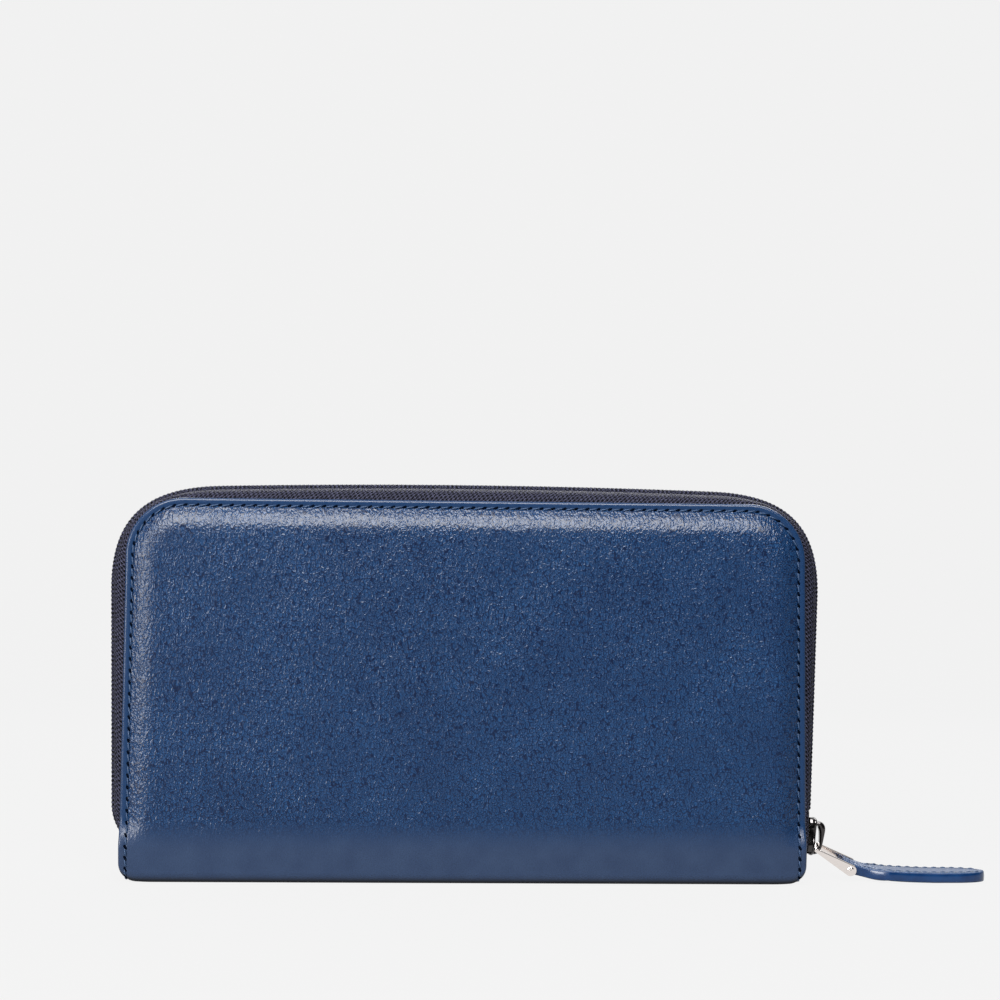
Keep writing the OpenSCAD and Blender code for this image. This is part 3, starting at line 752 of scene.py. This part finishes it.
def coil_skin(side, z_start):
    """Turns of a nylon coil, flattened, each with a fatter head at the middle of the zip."""
    step, per = 1.2, 12
    first = int(np.argmax(CHAIN[:, 1] > z_start))
    turns = int((CHAIN_U[-1] - CHAIN_U[first] - 1.0) / step)
    phase = np.arange(turns * per + 1) / per
    u = CHAIN_U[first] + phase * step + (step / 2 if side > 0 else 0)
    u = np.minimum(u, CHAIN_U[-1])
    a = phase * math.tau
    path = on_chain(u, 0.28 * np.sin(a) - 0.12, side * (1.2 - 0.98 * np.cos(a)))
    core = on_chain(np.arange(u[0], u[-1], 2.0), -0.12, side * 1.25)
    return gather([tube(path, 0.22 + 0.04 * clamp(np.cos(a)), 6), tube(core, 0.24, 6)])


for side, word, z0 in ((-1, "front", 19.6), (1, "back", 13.6)):
    cover = word + "_cover"
    skin, weave = zip_tape(side)
    piece(word + "_woven_tape", skin, M_TAPE, cover, [word + "_zip_tape"], crease=60, grain=weave)
    coil = coil_skin(side, z0)
    piece(word + "_coil_teeth", coil, M_COIL, cover, [word + "_zip_coil"], crease=None)

CRIMP = rounded_prism([(-0.7, -0.7), (0.7, -0.7), (0.7, 0.7), (-0.7, 0.7)], -0.75, 0.75, 0.25)
for side, word in ((-1, "front"), (1, "back")):
    v, f = CRIMP
    at = int(np.argmax(CHAIN[:, 1] > 8.9))
    v = np.stack([v[:, 2] + CHAIN[at, 0] - 2.4, v[:, 0] + side * 5.5, v[:, 1] + 8.9], 1)
    piece(word + "_end_crimp", (v, f), M_COIL, word + "_cover", [word + "_top_stop"])

# ---------- slider and pull ----------

R_SLIDER = np.array(Matrix.Rotation(LEG_TILT + math.radians(5), 3, "Y"))


def on_slider(v):
    """From the slider's own axes: X outward, Y across, Z along the chain."""
    return np.asarray(v, float) @ R_SLIDER.T + [SLIDER_X, 0, SLIDER_Z]


def stand_plate(v):
    """Turns a plate drawn flat in X and Y so that its thickness runs along X."""
    return np.stack([v[:, 2], v[:, 0], v[:, 1]], 1)


def symmetric(profile):
    return profile + [(-w, t) for w, t in reversed(profile)]


def catmull(points, per=5):
    p = np.asarray(points, float)
    out = []
    for i in range(len(p)):
        a, b, c, d = p[i - 1], p[i], p[(i + 1) % len(p)], p[(i + 2) % len(p)]
        for k in range(per):
            t = k / per
            curve = (2 * a - 5 * b + 4 * c - d) * t * t + (3 * b - a - 3 * c + d) * t ** 3
            out.append(0.5 * (2 * b + (c - a) * t + curve))
    return np.array(out)


def side_rails(profile, thick, low, high, edge):
    """The two walls of a slider, which follow the sides of its outline."""
    out = []
    for s in (-1, 1):
        rail = [(s * w, t) for w, t in profile[2:-1]] + [(s * (w - thick), t) for w, t in profile[-2:1:-1]]
        out.append(rounded_prism(rail if s > 0 else rail[::-1], low, high, edge, 2))
    return out


slider_profile = [(0.9, -5.3), (2.4, -5.0), (3.7, -4.1), (4.15, -2.9), (3.9, -1.5),
                  (3.35, 0.3), (3.2, 2.4), (3.15, 4.0), (2.5, 5.0), (0.9, 5.3)]
plate_outline = catmull(symmetric(slider_profile), 4)
outer_plate = rounded_prism(plate_outline, 1.2, 2.05, 0.32)
inner_plate = rounded_prism(plate_outline, -2.45, -1.7, 0.28)
flanges = side_rails(slider_profile, 0.4, 0.02, 1.4, 0.12)
post = rounded_prism([(-0.2, -5.0), (0.2, -5.0), (0.2, -1.4), (-0.2, -1.4)], -1.8, 1.3, 0.05, 2)
v, f = gather([(stand_plate(p[0]), p[1]) for p in (outer_plate, inner_plate, *flanges, post)])
piece("zip_slider_body", (on_slider(v), f), M_SLIDER, "zip_slider", ["slider_body"])

PLATE = 1.95
arch = np.concatenate([
    bezier((PLATE - 0.2, 3.5), (PLATE + 1.5, 4.3), (PLATE + 2.3, 3.2), (PLATE + 2.35, 1.2), 14)[:-1],
    bezier((PLATE + 2.35, 1.0), (PLATE + 2.45, -2.6), (PLATE + 2.3, -4.6), (PLATE, -4.6), 18)])
rings = []
turn = np.arange(16) * math.tau / 16
for i, p in enumerate(arch):
    t = arch[min(i + 1, len(arch) - 1)] - arch[max(i - 1, 0)]
    t /= np.linalg.norm(t)
    w = 0.42 + 0.56 * math.exp(-((i / (len(arch) - 1) - 0.28) / 0.2) ** 2)
    half = 1.55 - 0.45 * abs(i / (len(arch) - 1) - 0.35)
    c, s = np.cos(turn), np.sin(turn)
    a, b = w * np.sign(c) * np.abs(c) ** 0.6, half * np.sign(s) * np.abs(s) ** 0.6
    rings.append(np.stack([p[0] + a * t[1], b, p[1] - a * t[0]], 1))
v, f = loft(rings)
bail = on_slider(v), f
piece("zip_slider_bail", bail, M_SLIDER, "zip_slider", ["slider_bail"], crease=50)

DROP, ROLL, CLEVIS = math.radians(29.5), math.radians(16), 11.3
BAR = on_slider([2.95, 0, -2.8])            # where the clevis hangs in the bail
R_CLEVIS = np.array(Matrix.Rotation(DROP, 3, "Y") @ Matrix.Rotation(ROLL, 3, "X"))


def on_clevis(v):
    return np.asarray(v, float) @ R_CLEVIS.T + BAR


def arm_outline():
    """Slim at the bar and round at the rivet, drawn in X and Z."""
    r0, r1 = 0.5, 1.72
    k = math.asin((r1 - r0) / CLEVIS)
    a = np.linspace(math.pi / 2 - k, -math.pi / 2 + k, 16)
    b = np.linspace(-math.pi / 2 + k, -3 * math.pi / 2 - k, 12)
    far = np.stack([CLEVIS + r1 * np.cos(a), r1 * np.sin(a)], 1)
    nearer = np.stack([r0 * np.cos(b), r0 * np.sin(b)], 1)
    return np.concatenate([far, nearer])[::-1]


arms = []
for y0 in (-3.08, 2.32):
    v, f = rounded_prism(arm_outline(), 0.0, 0.76, 0.2, 3)
    arms.append((np.stack([v[:, 0], v[:, 2] + y0, v[:, 1]], 1), [g[::-1] for g in f]))
bar = tube([(0, y, 0) for y in np.linspace(-2.6, 2.6, 6)], 0.5, 12)
v, f = gather([*arms, bar])
piece("pull_clevis_fork", (on_clevis(v), f), M_STEEL, "clevis", ["pull_clevis"])

RIVET_HEAD = [(0.55, 0.39), (0.85, 0.32), (1.05, 0.16), (1.08, 0.0)]
RIVET_DIMPLE = [(0.34, 0.405), (0.26, 0.455), (0.12, 0.465)]
rivet = []
for s in (-1, 1):
    for profile in (RIVET_HEAD, RIVET_DIMPLE):
        rings = [[(CLEVIS + r * math.cos(a), s * (3.1 + h), r * math.sin(a)) for a in turn]
                 for r, h in profile]
        rivet.append(loft(rings, flip=s < 0))
rivet.append(tube([(CLEVIS, y, 0) for y in (-3.1, 0, 3.1)], 0.74, 16))
v, f = gather(rivet)
piece("pull_rivet_pin", (on_clevis(v), f), M_STEEL, "clevis", ["pull_rivet"])

# ---------- the leather tongue ----------

RIVET = BAR + CLEVIS * np.array([math.cos(DROP), 0, -math.sin(DROP)])
TONGUE_T, TONGUE_W, TONGUE_END = 2.9, 12.6, 38.4
down = np.array([math.cos(DROP), -math.sin(DROP)])
riv = RIVET[[0, 2]]
rest_z = TONGUE_T / 2 + 0.05
start = riv - 2.8 * down
tongue_line = np.concatenate([
    bezier(start, start + 5.2 * down, (riv[0] + 7.5, rest_z + 0.3), (riv[0] + 23, rest_z), 34),
    [(riv[0] + 23 + (TONGUE_END - 23) * k, rest_z) for k in 1 - (1 - np.linspace(0, 1, 30)[1:]) ** 1.7]])


def tongue_half(x):
    neck, blade = 2.2, TONGUE_W / 2
    swell = neck + (blade - neck) * smooth(x, 2.8, 10.8)
    taper = 1 - 0.12 * clamp((x - 14) / (TONGUE_END - 14))
    return swell * taper * np.sqrt(np.maximum(0.0004, 1 - clamp((x - TONGUE_END + 10.0) / 10.0) ** 2.3))


def tongue_frames():
    d = headings(tongue_line)
    x = tongue_line[:, 0] - riv[0]
    roll = ROLL * (1 - clamp((x - 2.6) / 7))
    up = np.stack([-d[:, 1] * np.cos(roll), -np.sin(roll), d[:, 0] * np.cos(roll)], 1)
    across = np.stack([-d[:, 1] * np.sin(roll), np.cos(roll), d[:, 0] * np.sin(roll)], 1)
    centre = np.stack([tongue_line[:, 0], np.zeros(len(x)), tongue_line[:, 1]], 1)
    return centre, up, across, tongue_half(x)


T_C, T_UP, T_ACROSS, T_W = tongue_frames()


def tongue_skin(profile):
    """Lofts a cross-section of (inset from the edge, height) pairs, given for both sides."""
    rings = []
    for i in range(len(T_C)):
        ring = []
        for side, inset, h in profile:
            w = max(T_W[i] - inset, T_W[i] * 0.04)
            shrink = min(1.0, T_W[i] / 1.2)
            ring.append(T_C[i] + side * w * T_ACROSS[i] + h * (0.35 + 0.65 * shrink) * T_UP[i])
        rings.append(ring)
    return rings


h = TONGUE_T / 2
LAYER_EDGE = [(0.25, 0.05), (0.2, h - 0.45), (0.3, h - 0.18), (0.55, h - 0.03), (0.9, h),
              (1.35, h - 0.12), (1.8, h - 0.02), (2.6, h + 0.04)]
upper = [(-1, i, z) for i, z in LAYER_EDGE] + [(1, i, z) for i, z in LAYER_EDGE[::-1]]
lower = [(s, i, -z) for s, i, z in upper[::-1]]
for word, profile in (("upper", upper), ("lower", lower)):
    skin, node = loft(tongue_skin(profile), flip=True), f"tongue_{word}_leather"
    piece(f"tongue_{word}_skin", skin, M_TONGUE, "tongue", [node], crease=60)

# painted edge, a low bulge that follows the rim of both layers
PAINT_OUT, PAINT_IN = 0.16, 0.45
a = np.linspace(0, math.tau, 14, endpoint=False)
bulge = np.where(np.cos(a) > 0, PAINT_OUT, PAINT_IN) * np.cos(a) - 0.22
edge_parts = []
for side in (-1, 1):
    rings = [c + np.outer(side * (w + bulge), across) + np.outer((h - 0.3) * np.sin(a), up)
             for c, up, across, w in zip(T_C, T_UP, T_ACROSS, T_W)]
    edge_parts.append(loft(rings, flip=side > 0))
piece("tongue_painted_edge", gather(edge_parts), M_PAINT, "tongue", crease=60)

STITCH_START, STITCH_STOP = 6.0, 1.6        # from the tongue's root and from its tip
reach = distance_along(T_C)


def tongue_rim(k, lift, up):
    """Point on the tongue's stitch line: k runs down one long side and back up the other."""
    side, q = (-1, k) if k < 1 else (1, 2 - k)
    at = STITCH_START + q * (reach[-1] - STITCH_START - STITCH_STOP)

    def here(values):
        return np.array([np.interp(at, reach, column) for column in values.T])

    w = max(float(np.interp(at, reach, T_W)) - 1.35, 0.0)
    return here(T_C) + side * w * here(T_ACROSS) + up * (h - 0.05 + lift) * here(T_UP)


STITCHES = 26
threads, holes = [], []
for up in (1, -1):
    proud = (-0.25, 0.02, 0.12, 0.02, -0.25) if up > 0 else (-0.3, -0.12, -0.08, -0.12, -0.3)
    thick = np.array([0.12, 0.21, 0.25, 0.21, 0.12]) * (1.0 if up > 0 else 0.6)
    for i in range(STITCHES):
        k0, k1 = (j / STITCHES * 1.96 + 0.02 for j in (i, i + 1))
        if k0 < 1 < k1:
            continue
        along = [k0 + (k1 - k0) * (0.14 + 0.72 * t) for t in (0, 0.15, 0.5, 0.85, 1)]
        threads.append(tube([tongue_rim(k, z, up) for k, z in zip(along, proud)], thick, 6))
        c = tongue_rim(k0, -0.02, up)
        t = tongue_rim(k0 + 0.01, -0.02, up) - c
        t /= np.linalg.norm(t)
        n = up * T_UP[-1]
        holes.append(ellipsoid(c, [0.42 * t, 0.26 * np.cross(t, n), 0.12 * n]))
piece("tongue_stitches", gather(threads), M_THREAD, "tongue", crease=None)
piece("tongue_stitch_holes", gather(holes), M_HOLE, "tongue", crease=None)

# ---------- the inside ----------


def panel(x0, x1, z0, z1, y, t):
    """Thin upright leather panel with rounded edges, from y to y + t."""
    nx, nz = 24, 16
    xs, zs = np.linspace(x0, x1, nx), np.linspace(z0, z1, nz)
    ring_x = np.concatenate([xs, np.full(nz - 1, x1), xs[-2::-1], np.full(nz - 2, x0)])
    ring_z = np.concatenate([np.full(nx, z0), zs[1:], np.full(nx - 1, z1), zs[-2:0:-1]])
    front = [(3.2, 0), (2.2, 0), (0.7, 0), (0.12, 0.06), (0, t / 2)]
    rings = []
    for inset, depth in front + [(0.12, t - 0.06), (0.7, t), (3.2, t)]:
        px = np.clip(ring_x, x0 + inset, x1 - inset)
        pz = np.clip(ring_z, z0 + inset, z1 - inset)
        rings.append(np.stack([px, np.full(len(px), y + depth), pz], 1))
    return loft(rings)


def seam(a, b, r, out):
    """Row of short threads from a to b that stand proud along out."""
    a, run = np.array(a, float), np.subtract(b, a, dtype=float)
    n = int(np.linalg.norm(run) // SEAM_PITCH)
    threads = []
    for i in range(n):
        q = (i + np.array([0.12, 0.25, 0.5, 0.75, 0.88])) / n
        path = a + np.outer(q, run) + np.outer([-0.15, 0.02, 0.08, 0.02, -0.15], out)
        threads.append(tube(path, [0.1, r * 0.85, r, r * 0.85, 0.1], 5))
    return threads


def mirrored(v, f, side):
    """Panels are drawn for the front cover, at negative Y, facing +Y."""
    return (v * [1, -1, 1], [g[::-1] for g in f]) if side > 0 else (v, f)


def lining_point(s, depth):
    """Y and Z at s from the middle of the spine, and at depth from the lining's outer face."""
    a = clamp((s - FLAT_RUN) / 2.0, 0, math.pi / 2)
    y = np.where(s < FLAT_RUN, s, FLAT_RUN + 2.0 * np.sin(a))
    z = np.where(s < FLAT_RUN, 1.45, 3.45 - 2.0 * np.cos(a)) + np.maximum(s - FLAT_RUN - math.pi, 0)
    return y - depth * np.sin(a), z + depth * np.cos(a)


SEAM_PITCH = 2.6
LINING_IN, LINING_T, FLAT_RUN, ROW = 7.95, 0.4, 6.2, 60
POCKET_X, POCKET_T, POCKET_LOW, POCKET_RISE = 87.2, 0.40, 46, 11
fold_end = FLAT_RUN + math.pi
s_end = 6.2 + math.pi + (TOP - 0.6) - 3.45
lining_runs = np.concatenate([
    np.linspace(0, FLAT_RUN, 6), FLAT_RUN + np.linspace(0, math.pi, 10)[1:],
    np.linspace(fold_end, s_end, 62)[1:]])
for side, word in ((-1, "front"), (1, "back")):
    cover = word + "_cover"
    # lining: from the middle of the spine, round the fold and up to the zip
    rings = []
    for s in lining_runs:
        outer, inner = lining_point(s, 0), lining_point(s, LINING_T)
        over = max(0.0, outer[1] - (TOP - CORNER))
        half = HALF - 0.6
        if over > 0:
            half = HALF - CORNER + math.sqrt(max((CORNER - 0.6) ** 2 - over ** 2, 0.0))
        half = min(half, 86.5) if outer[1] < 3 else half
        row = np.linspace(-half, half, ROW)
        rings.append(np.concatenate([
            np.stack([x, np.full(ROW, side * y), np.full(ROW, z)], 1)
            for x, (y, z) in ((row, outer), (row[::-1], inner))]))
    ob = mesh_object(word + "_twill_lining", *loft(rings, flip=side < 0), M_LINING, crease=40)
    bend(ob)
    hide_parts(word + "_lining", *(["spine_lining"] if side < 0 else []))

    # card pockets, lowest edge innermost
    seams = []
    for i in range(1, 5):
        top = POCKET_LOW + (i - 1) * POCKET_RISE
        low, seam_low = (6.0, 7.5) if i == 1 else (top - 40.0, top - 10.4)
        near = LINING_IN - (5 - i) * 0.5
        leaf = [panel(x0, x1, low, top, -(near + 0.43), POCKET_T)
                for x0, x1 in ((-POCKET_X, -0.15), (0.15, POCKET_X))]
        skin = mirrored(*gather(leaf), side)
        piece(f"{word}_card_leaf_{i}", skin, M_POCKET, cover, [f"{word}_card_pocket_{i}"])
        y, out = side * (near - 0.02), (0, -side, 0)
        for x0, x1 in ((-86.2, -1.2), (1.2, 86.2)):
            seams += seam((x0, y, top - 1.6), (x1, y, top - 1.6), 0.16, out)
        for x in (-86.0, -1.3, 1.3, 86.0):
            seams += seam((x, y, seam_low), (x, y, top - 2.6), 0.16, out)
    piece(word + "_card_seams", gather(seams), M_THREAD, cover, crease=None)

# gussets: folded side walls between the coin pocket and each cover
GUSSET = np.array([(87.7, -7.5), (90.6, -7.5), (91.2, -6.85), (90.2, -6.05),
                   (76.0, -4.3), (74.8, -3.9), (76.0, -3.4), (88.2, -1.62)])
knots = distance_along(GUSSET)
q = np.linspace(0, knots[-1], 60)
fine = np.stack([np.interp(q, knots, GUSSET[:, 0]), np.interp(q, knots, GUSSET[:, 1])], 1)
for _ in range(3):
    fine[1:-1] = (fine[:-2] + 2 * fine[1:-1] + fine[2:]) / 4
d = headings(fine)
n = np.stack([-d[:, 1], d[:, 0]], 1) * 0.18
loop = np.concatenate([fine + n, (fine - n)[::-1]])
for sx, sx_word in ((-1, "left"), (1, "right")):
    for side, word in ((-1, "front"), (1, "back")):
        rings = [np.stack([sx * loop[:, 0], -side * loop[:, 1], np.full(len(loop), z)], 1)
                 for z in np.linspace(9, 89, 41)]
        v, f = loft(rings, flip=sx * side < 0)
        ob = mesh_object(f"{word}_{sx_word}_gusset_cloth", v, f, M_LINING, crease=60)
        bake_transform(ob)
        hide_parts(f"{word}_{sx_word}_gusset")

# coin pocket
COIN_X, WALL_T, FRONT_Y, BACK_Y = 87, 0.64, -1.48, 0.84
wall = panel(-COIN_X, COIN_X, 1.9, 72, FRONT_Y, WALL_T)
piece("coin_pocket_front", wall, M_POCKET, "spine", ["coin_front_wall"])
wall = panel(-COIN_X, COIN_X, 1.9, 88, BACK_Y, WALL_T)
piece("coin_pocket_back", wall, M_POCKET, "spine", ["coin_back_wall"])
band = [(-1.5, 79.0), (-1.5, 87.2), (-1.25, 87.9), (-0.6, 88.2), (0.5, 88.2),
        (0.85, 88.0), (0.85, 87.4), (-0.5, 87.3), (-0.82, 86.9), (-0.82, 79.0)]
band_skin = loft([[(x, y, z) for y, z in band] for x in np.linspace(-COIN_X, COIN_X, 30)])
piece("coin_pocket_band", band_skin, M_POCKET, "spine", ["coin_top_band"], crease=50)
seams = []
for y, z in ((-1.5, 70.6), (-1.52, 80.4)):
    seams += seam((-84, y, z), (84, y, z), 0.17, (0, -1, 0))
for x in (-85.4, 85.4):
    for s, top in ((-1, 70), (1, 86)):
        seams += seam((x, s * 1.5, 4), (x, s * 1.5, top), 0.17, (0, s, 0))
piece("coin_pocket_seams", gather(seams), M_THREAD, "spine", crease=None)

COIN_Z = 75.5
ALONG, ACROSS = 169, 5
for word, s in (("lower", -1), ("upper", 1)):
    z0, z1 = sorted((COIN_Z + s * 0.3, COIN_Z + s * 6.3))
    X, Z = np.meshgrid(np.linspace(-84, 84, ALONG), np.linspace(z0, z1, ACROSS), indexing="ij")
    skins = [np.stack([X, np.full(X.shape, y), Z], -1).reshape(-1, 3) for y in (-0.75, -0.42)]
    faces = grid_faces(*X.shape) + grid_faces(*X.shape, offset=X.size, flip=True)
    low, end = range(0, X.size, ACROSS), X.size - ACROSS
    for line, turned in ((low, False), ([i + ACROSS - 1 for i in low], True),
                         (range(ACROSS), True), (range(end, X.size), False)):
        for a, b in zip(line[:-1], line[1:]):
            q = [a, b, b + X.size, a + X.size]
            faces.append(q[::-1] if turned else q)
    weave = np.stack([X, np.abs(Z - COIN_Z), Z * 0], -1).reshape(-1, 3)
    skin = np.concatenate(skins), faces
    piece(f"coin_{word}_woven_tape", skin, M_TAPE, "spine", [f"coin_{word}_tape"],
          grain=np.concatenate([weave, weave]))
    turns, per = 129, 10
    phase = np.arange(turns * per + 1) / per
    x = -77.5 + phase * 1.2 + (0.6 if s > 0 else 0)
    a = phase * math.tau
    path = np.stack([np.minimum(x, 77.9), -1.2 - 0.22 * np.sin(a), COIN_Z + s * (0.88 - 0.62 * np.cos(a))], 1)
    core = [(x, -1.2, COIN_Z + s * 0.9) for x in np.linspace(-77, 77, 78)]
    coil = gather([tube(path, 0.2, 6), tube(core, 0.2, 6)])
    piece(f"coin_{word}_coil_teeth", coil, M_COIL, "spine", [f"coin_{word}_coil"], crease=None)

COIN_SLIDER_X, TAB_Y = 62, 3.15
coin_profile = [(0.8, -4.0), (1.9, -3.7), (2.75, -2.9), (2.85, -1.6),
                (2.4, -0.2), (2.3, 2.4), (2.1, 3.6), (0.8, 4.0)]
coin_outline = catmull(symmetric(coin_profile), 4)
top_plate = rounded_prism(coin_outline, 1.86, 2.5, 0.2)
low_plate = rounded_prism(coin_outline, -0.18, 0.18, 0.1, 2)
rails = side_rails(coin_profile, 0.4, 0.92, 2.0, 0.08)
wedge = rounded_prism([(-0.18, -3.6), (0.18, -3.6), (0.18, -0.6), (-0.18, -0.6)], 0.05, 2.0, 0.04, 2)
v, f = gather([top_plate, low_plate, *rails, wedge])
body = np.stack([COIN_SLIDER_X - v[:, 1], -v[:, 2], v[:, 0] + COIN_Z], 1), [g[::-1] for g in f]
arch_half = bezier((3.0, 2.3), (3.1, 4.6), (2.2, 4.15), (0.0, 4.1), 10)
coin_arch = np.concatenate([arch_half[:-1], arch_half[::-1] * [-1, 1]])
bridge = tube([(COIN_SLIDER_X + a, -b, COIN_Z) for a, b in coin_arch], 0.32, 10, flat=(1.0, 2.4))
skin = gather([body, bridge])
piece("coin_slider_metal", skin, M_STEEL, "coin_zip_slider", ["coin_slider"])

TAB_R, WIRE_R = 1.95, 0.34
half_turn = np.linspace(math.pi / 2, 3 * math.pi / 2, 17)
outline = [(TAB_R * math.cos(a) - 14, TAB_R * math.sin(a)) for a in half_turn]
outline += [(-5.0, -TAB_R), (-5.0, TAB_R)]
tab = [rounded_prism(catmull(outline, 2), 2.82, 3.48, 0.2, 3)]
for s in (-1, 1):
    arm = [(-5.3, s * 1.6, TAB_Y), (-3.0, s * 1.6, TAB_Y), (-0.6, s * 1.6, TAB_Y), (0.0, s * 1.5, TAB_Y)]
    tab.append(tube(arm, WIRE_R, 8))
tab.append(tube([(0.0, y, TAB_Y) for y in (-1.7, 0.0, 1.7)], WIRE_R, 8))
v, f = gather(tab)
v = np.stack([v[:, 0] + COIN_SLIDER_X, -v[:, 2], v[:, 1] + COIN_Z], 1)
piece("coin_pull_tab", (v, f), M_STEEL, "coin_zip_pull", ["coin_pull"])

# carried-over CAD pieces get their materials
for node, mat in (("front_board", M_BOARD), ("front_bottom_stop", M_COIL), ("back_board", M_BOARD),
                  ("back_bottom_stop", M_COIL), ("coin_zip_stops", M_STEEL)):
    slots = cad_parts[node].data.materials
    slots.clear()
    slots.append(mat)

# ---------- stage, light and camera ----------


def stage_material(name, near, far, base):
    """Pale floor and cove. The floor gets dimmer far out in front and to the sides."""
    n = Nodes(name)
    where = n.add("TexCoord", out=3)
    x, y = (n.add("SeparateXYZ", {0: where}, out=k) for k in (0, 1))
    speck = n.noise(where, 40.0, 2.0)
    tone = n.mix(n.ramp(speck, 0.3, 0.7), (base, base, base), (base * 1.02, base * 1.02, base * 1.02))
    width = n.plus(n.mul(n.math("MAXIMUM", y, 0.0), 0.32), 0.2)
    beyond = n.math("MAXIMUM", n.minus(n.math("ABSOLUTE", x), width), n.minus(-0.2, y))
    n.surface(Base_Color=tone, Roughness=0.9, Specular_IOR_Level=0.0, Emission_Color=(1, 1, 1),
              Emission_Strength=n.ramp(beyond, 0.0, 0.9, near, far, soft=True))
    return n.mat


FAR, FLOOR_END, COVE_R, WALL_TOP = 40000, 900, 500, 2600
xs = np.linspace(-FAR, FAR, 21)
bow = [(FLOOR_END + COVE_R * math.sin(a), COVE_R * (1 - math.cos(a)))
       for a in np.linspace(0, math.pi / 2, 12)[1:]]
profile = [(-FAR, 0), (FLOOR_END, 0)] + bow + [(FLOOR_END + COVE_R, WALL_TOP)]
verts = [(x, y, z) for y, z in profile for x in xs]
faces = grid_faces(len(profile), len(xs), flip=True)
cove = mesh_object("studio_cove", verts, faces, stage_material("pale_cove", 0.870, 0.55, 0.008))


def area_light(name, at, aim, size, power, colour=(1, 1, 1)):
    data = bpy.data.lights.new(name, "AREA")
    data.shape, data.size, data.size_y = "RECTANGLE", size[0], size[1]
    data.energy, data.color = power, colour
    ob = bpy.data.objects.new(name, data)
    ob.location = at
    ob.rotation_euler = (Vector(aim) - Vector(at)).to_track_quat("-Z", "Y").to_euler()
    scene.collection.objects.link(ob)


area_light("key_above", (-0.10, -0.79, 0.79), (0, 0, 0.08), (1.2, 0.50), 44)
area_light("key_left", (-0.92, -0.66, 0.16), (0, 0, 0.06), (0.42, 0.6), 15)
area_light("back_soft", (0.15, 0.72, 0.72), (0, 0, 0.06), (1.0, 0.4), 11)
area_light("left_sheen", (-0.50, -0.95, 0.08), (0, 0, 0.05), (0.5, 0.6), 1.2)
area_light("top_soft", (-0.1, 0.15, 1.2), (0, 0, 0.05), (1.3, 0.8), 5)
world = bpy.data.worlds.new("studio_air")
world.use_nodes = True
tree = world.node_tree
way = tree.nodes.new("ShaderNodeTexCoord")
parts = tree.nodes.new("ShaderNodeSeparateXYZ")
climb = tree.nodes.new("ShaderNodeMapRange")
climb.inputs[1].default_value, climb.inputs[2].default_value = 0.15, 0.9
climb.inputs[3].default_value, climb.inputs[4].default_value = 0.03, 0.35
tree.links.new(way.outputs["Generated"], parts.inputs[0])
tree.links.new(parts.outputs["Z"], climb.inputs[0])
tree.links.new(climb.outputs[0], tree.nodes["Background"].inputs[1])
tree.nodes["Background"].inputs[0].default_value = (0.92, 0.95, 1.0, 1)
scene.world = world
scene.view_settings.view_transform = "Standard"
scene.view_settings.look = "None"

YAW, RISE, TILT = math.radians(2.06), math.radians(3.57), math.radians(0.54)
forward = Vector((math.sin(YAW) * math.cos(RISE), math.cos(YAW) * math.cos(RISE), math.sin(RISE)))
eye = Vector((-9.2, -511.8, 75.0))
cam_data = bpy.data.cameras.new("photo_camera")
cam_data.sensor_width, cam_data.lens = 36.0, 64.67
cam_data.clip_start, cam_data.clip_end = 0.02, 100
cam = bpy.data.objects.new("photo_camera", cam_data)
cam.location = eye * MM
cam.rotation_mode = "QUATERNION"
aimed = forward.to_track_quat("-Z", "Y").to_matrix()
cam.rotation_quaternion = (aimed @ Matrix.Rotation(TILT, 3, "Z")).to_quaternion()
scene.collection.objects.link(cam)
scene.camera = cam
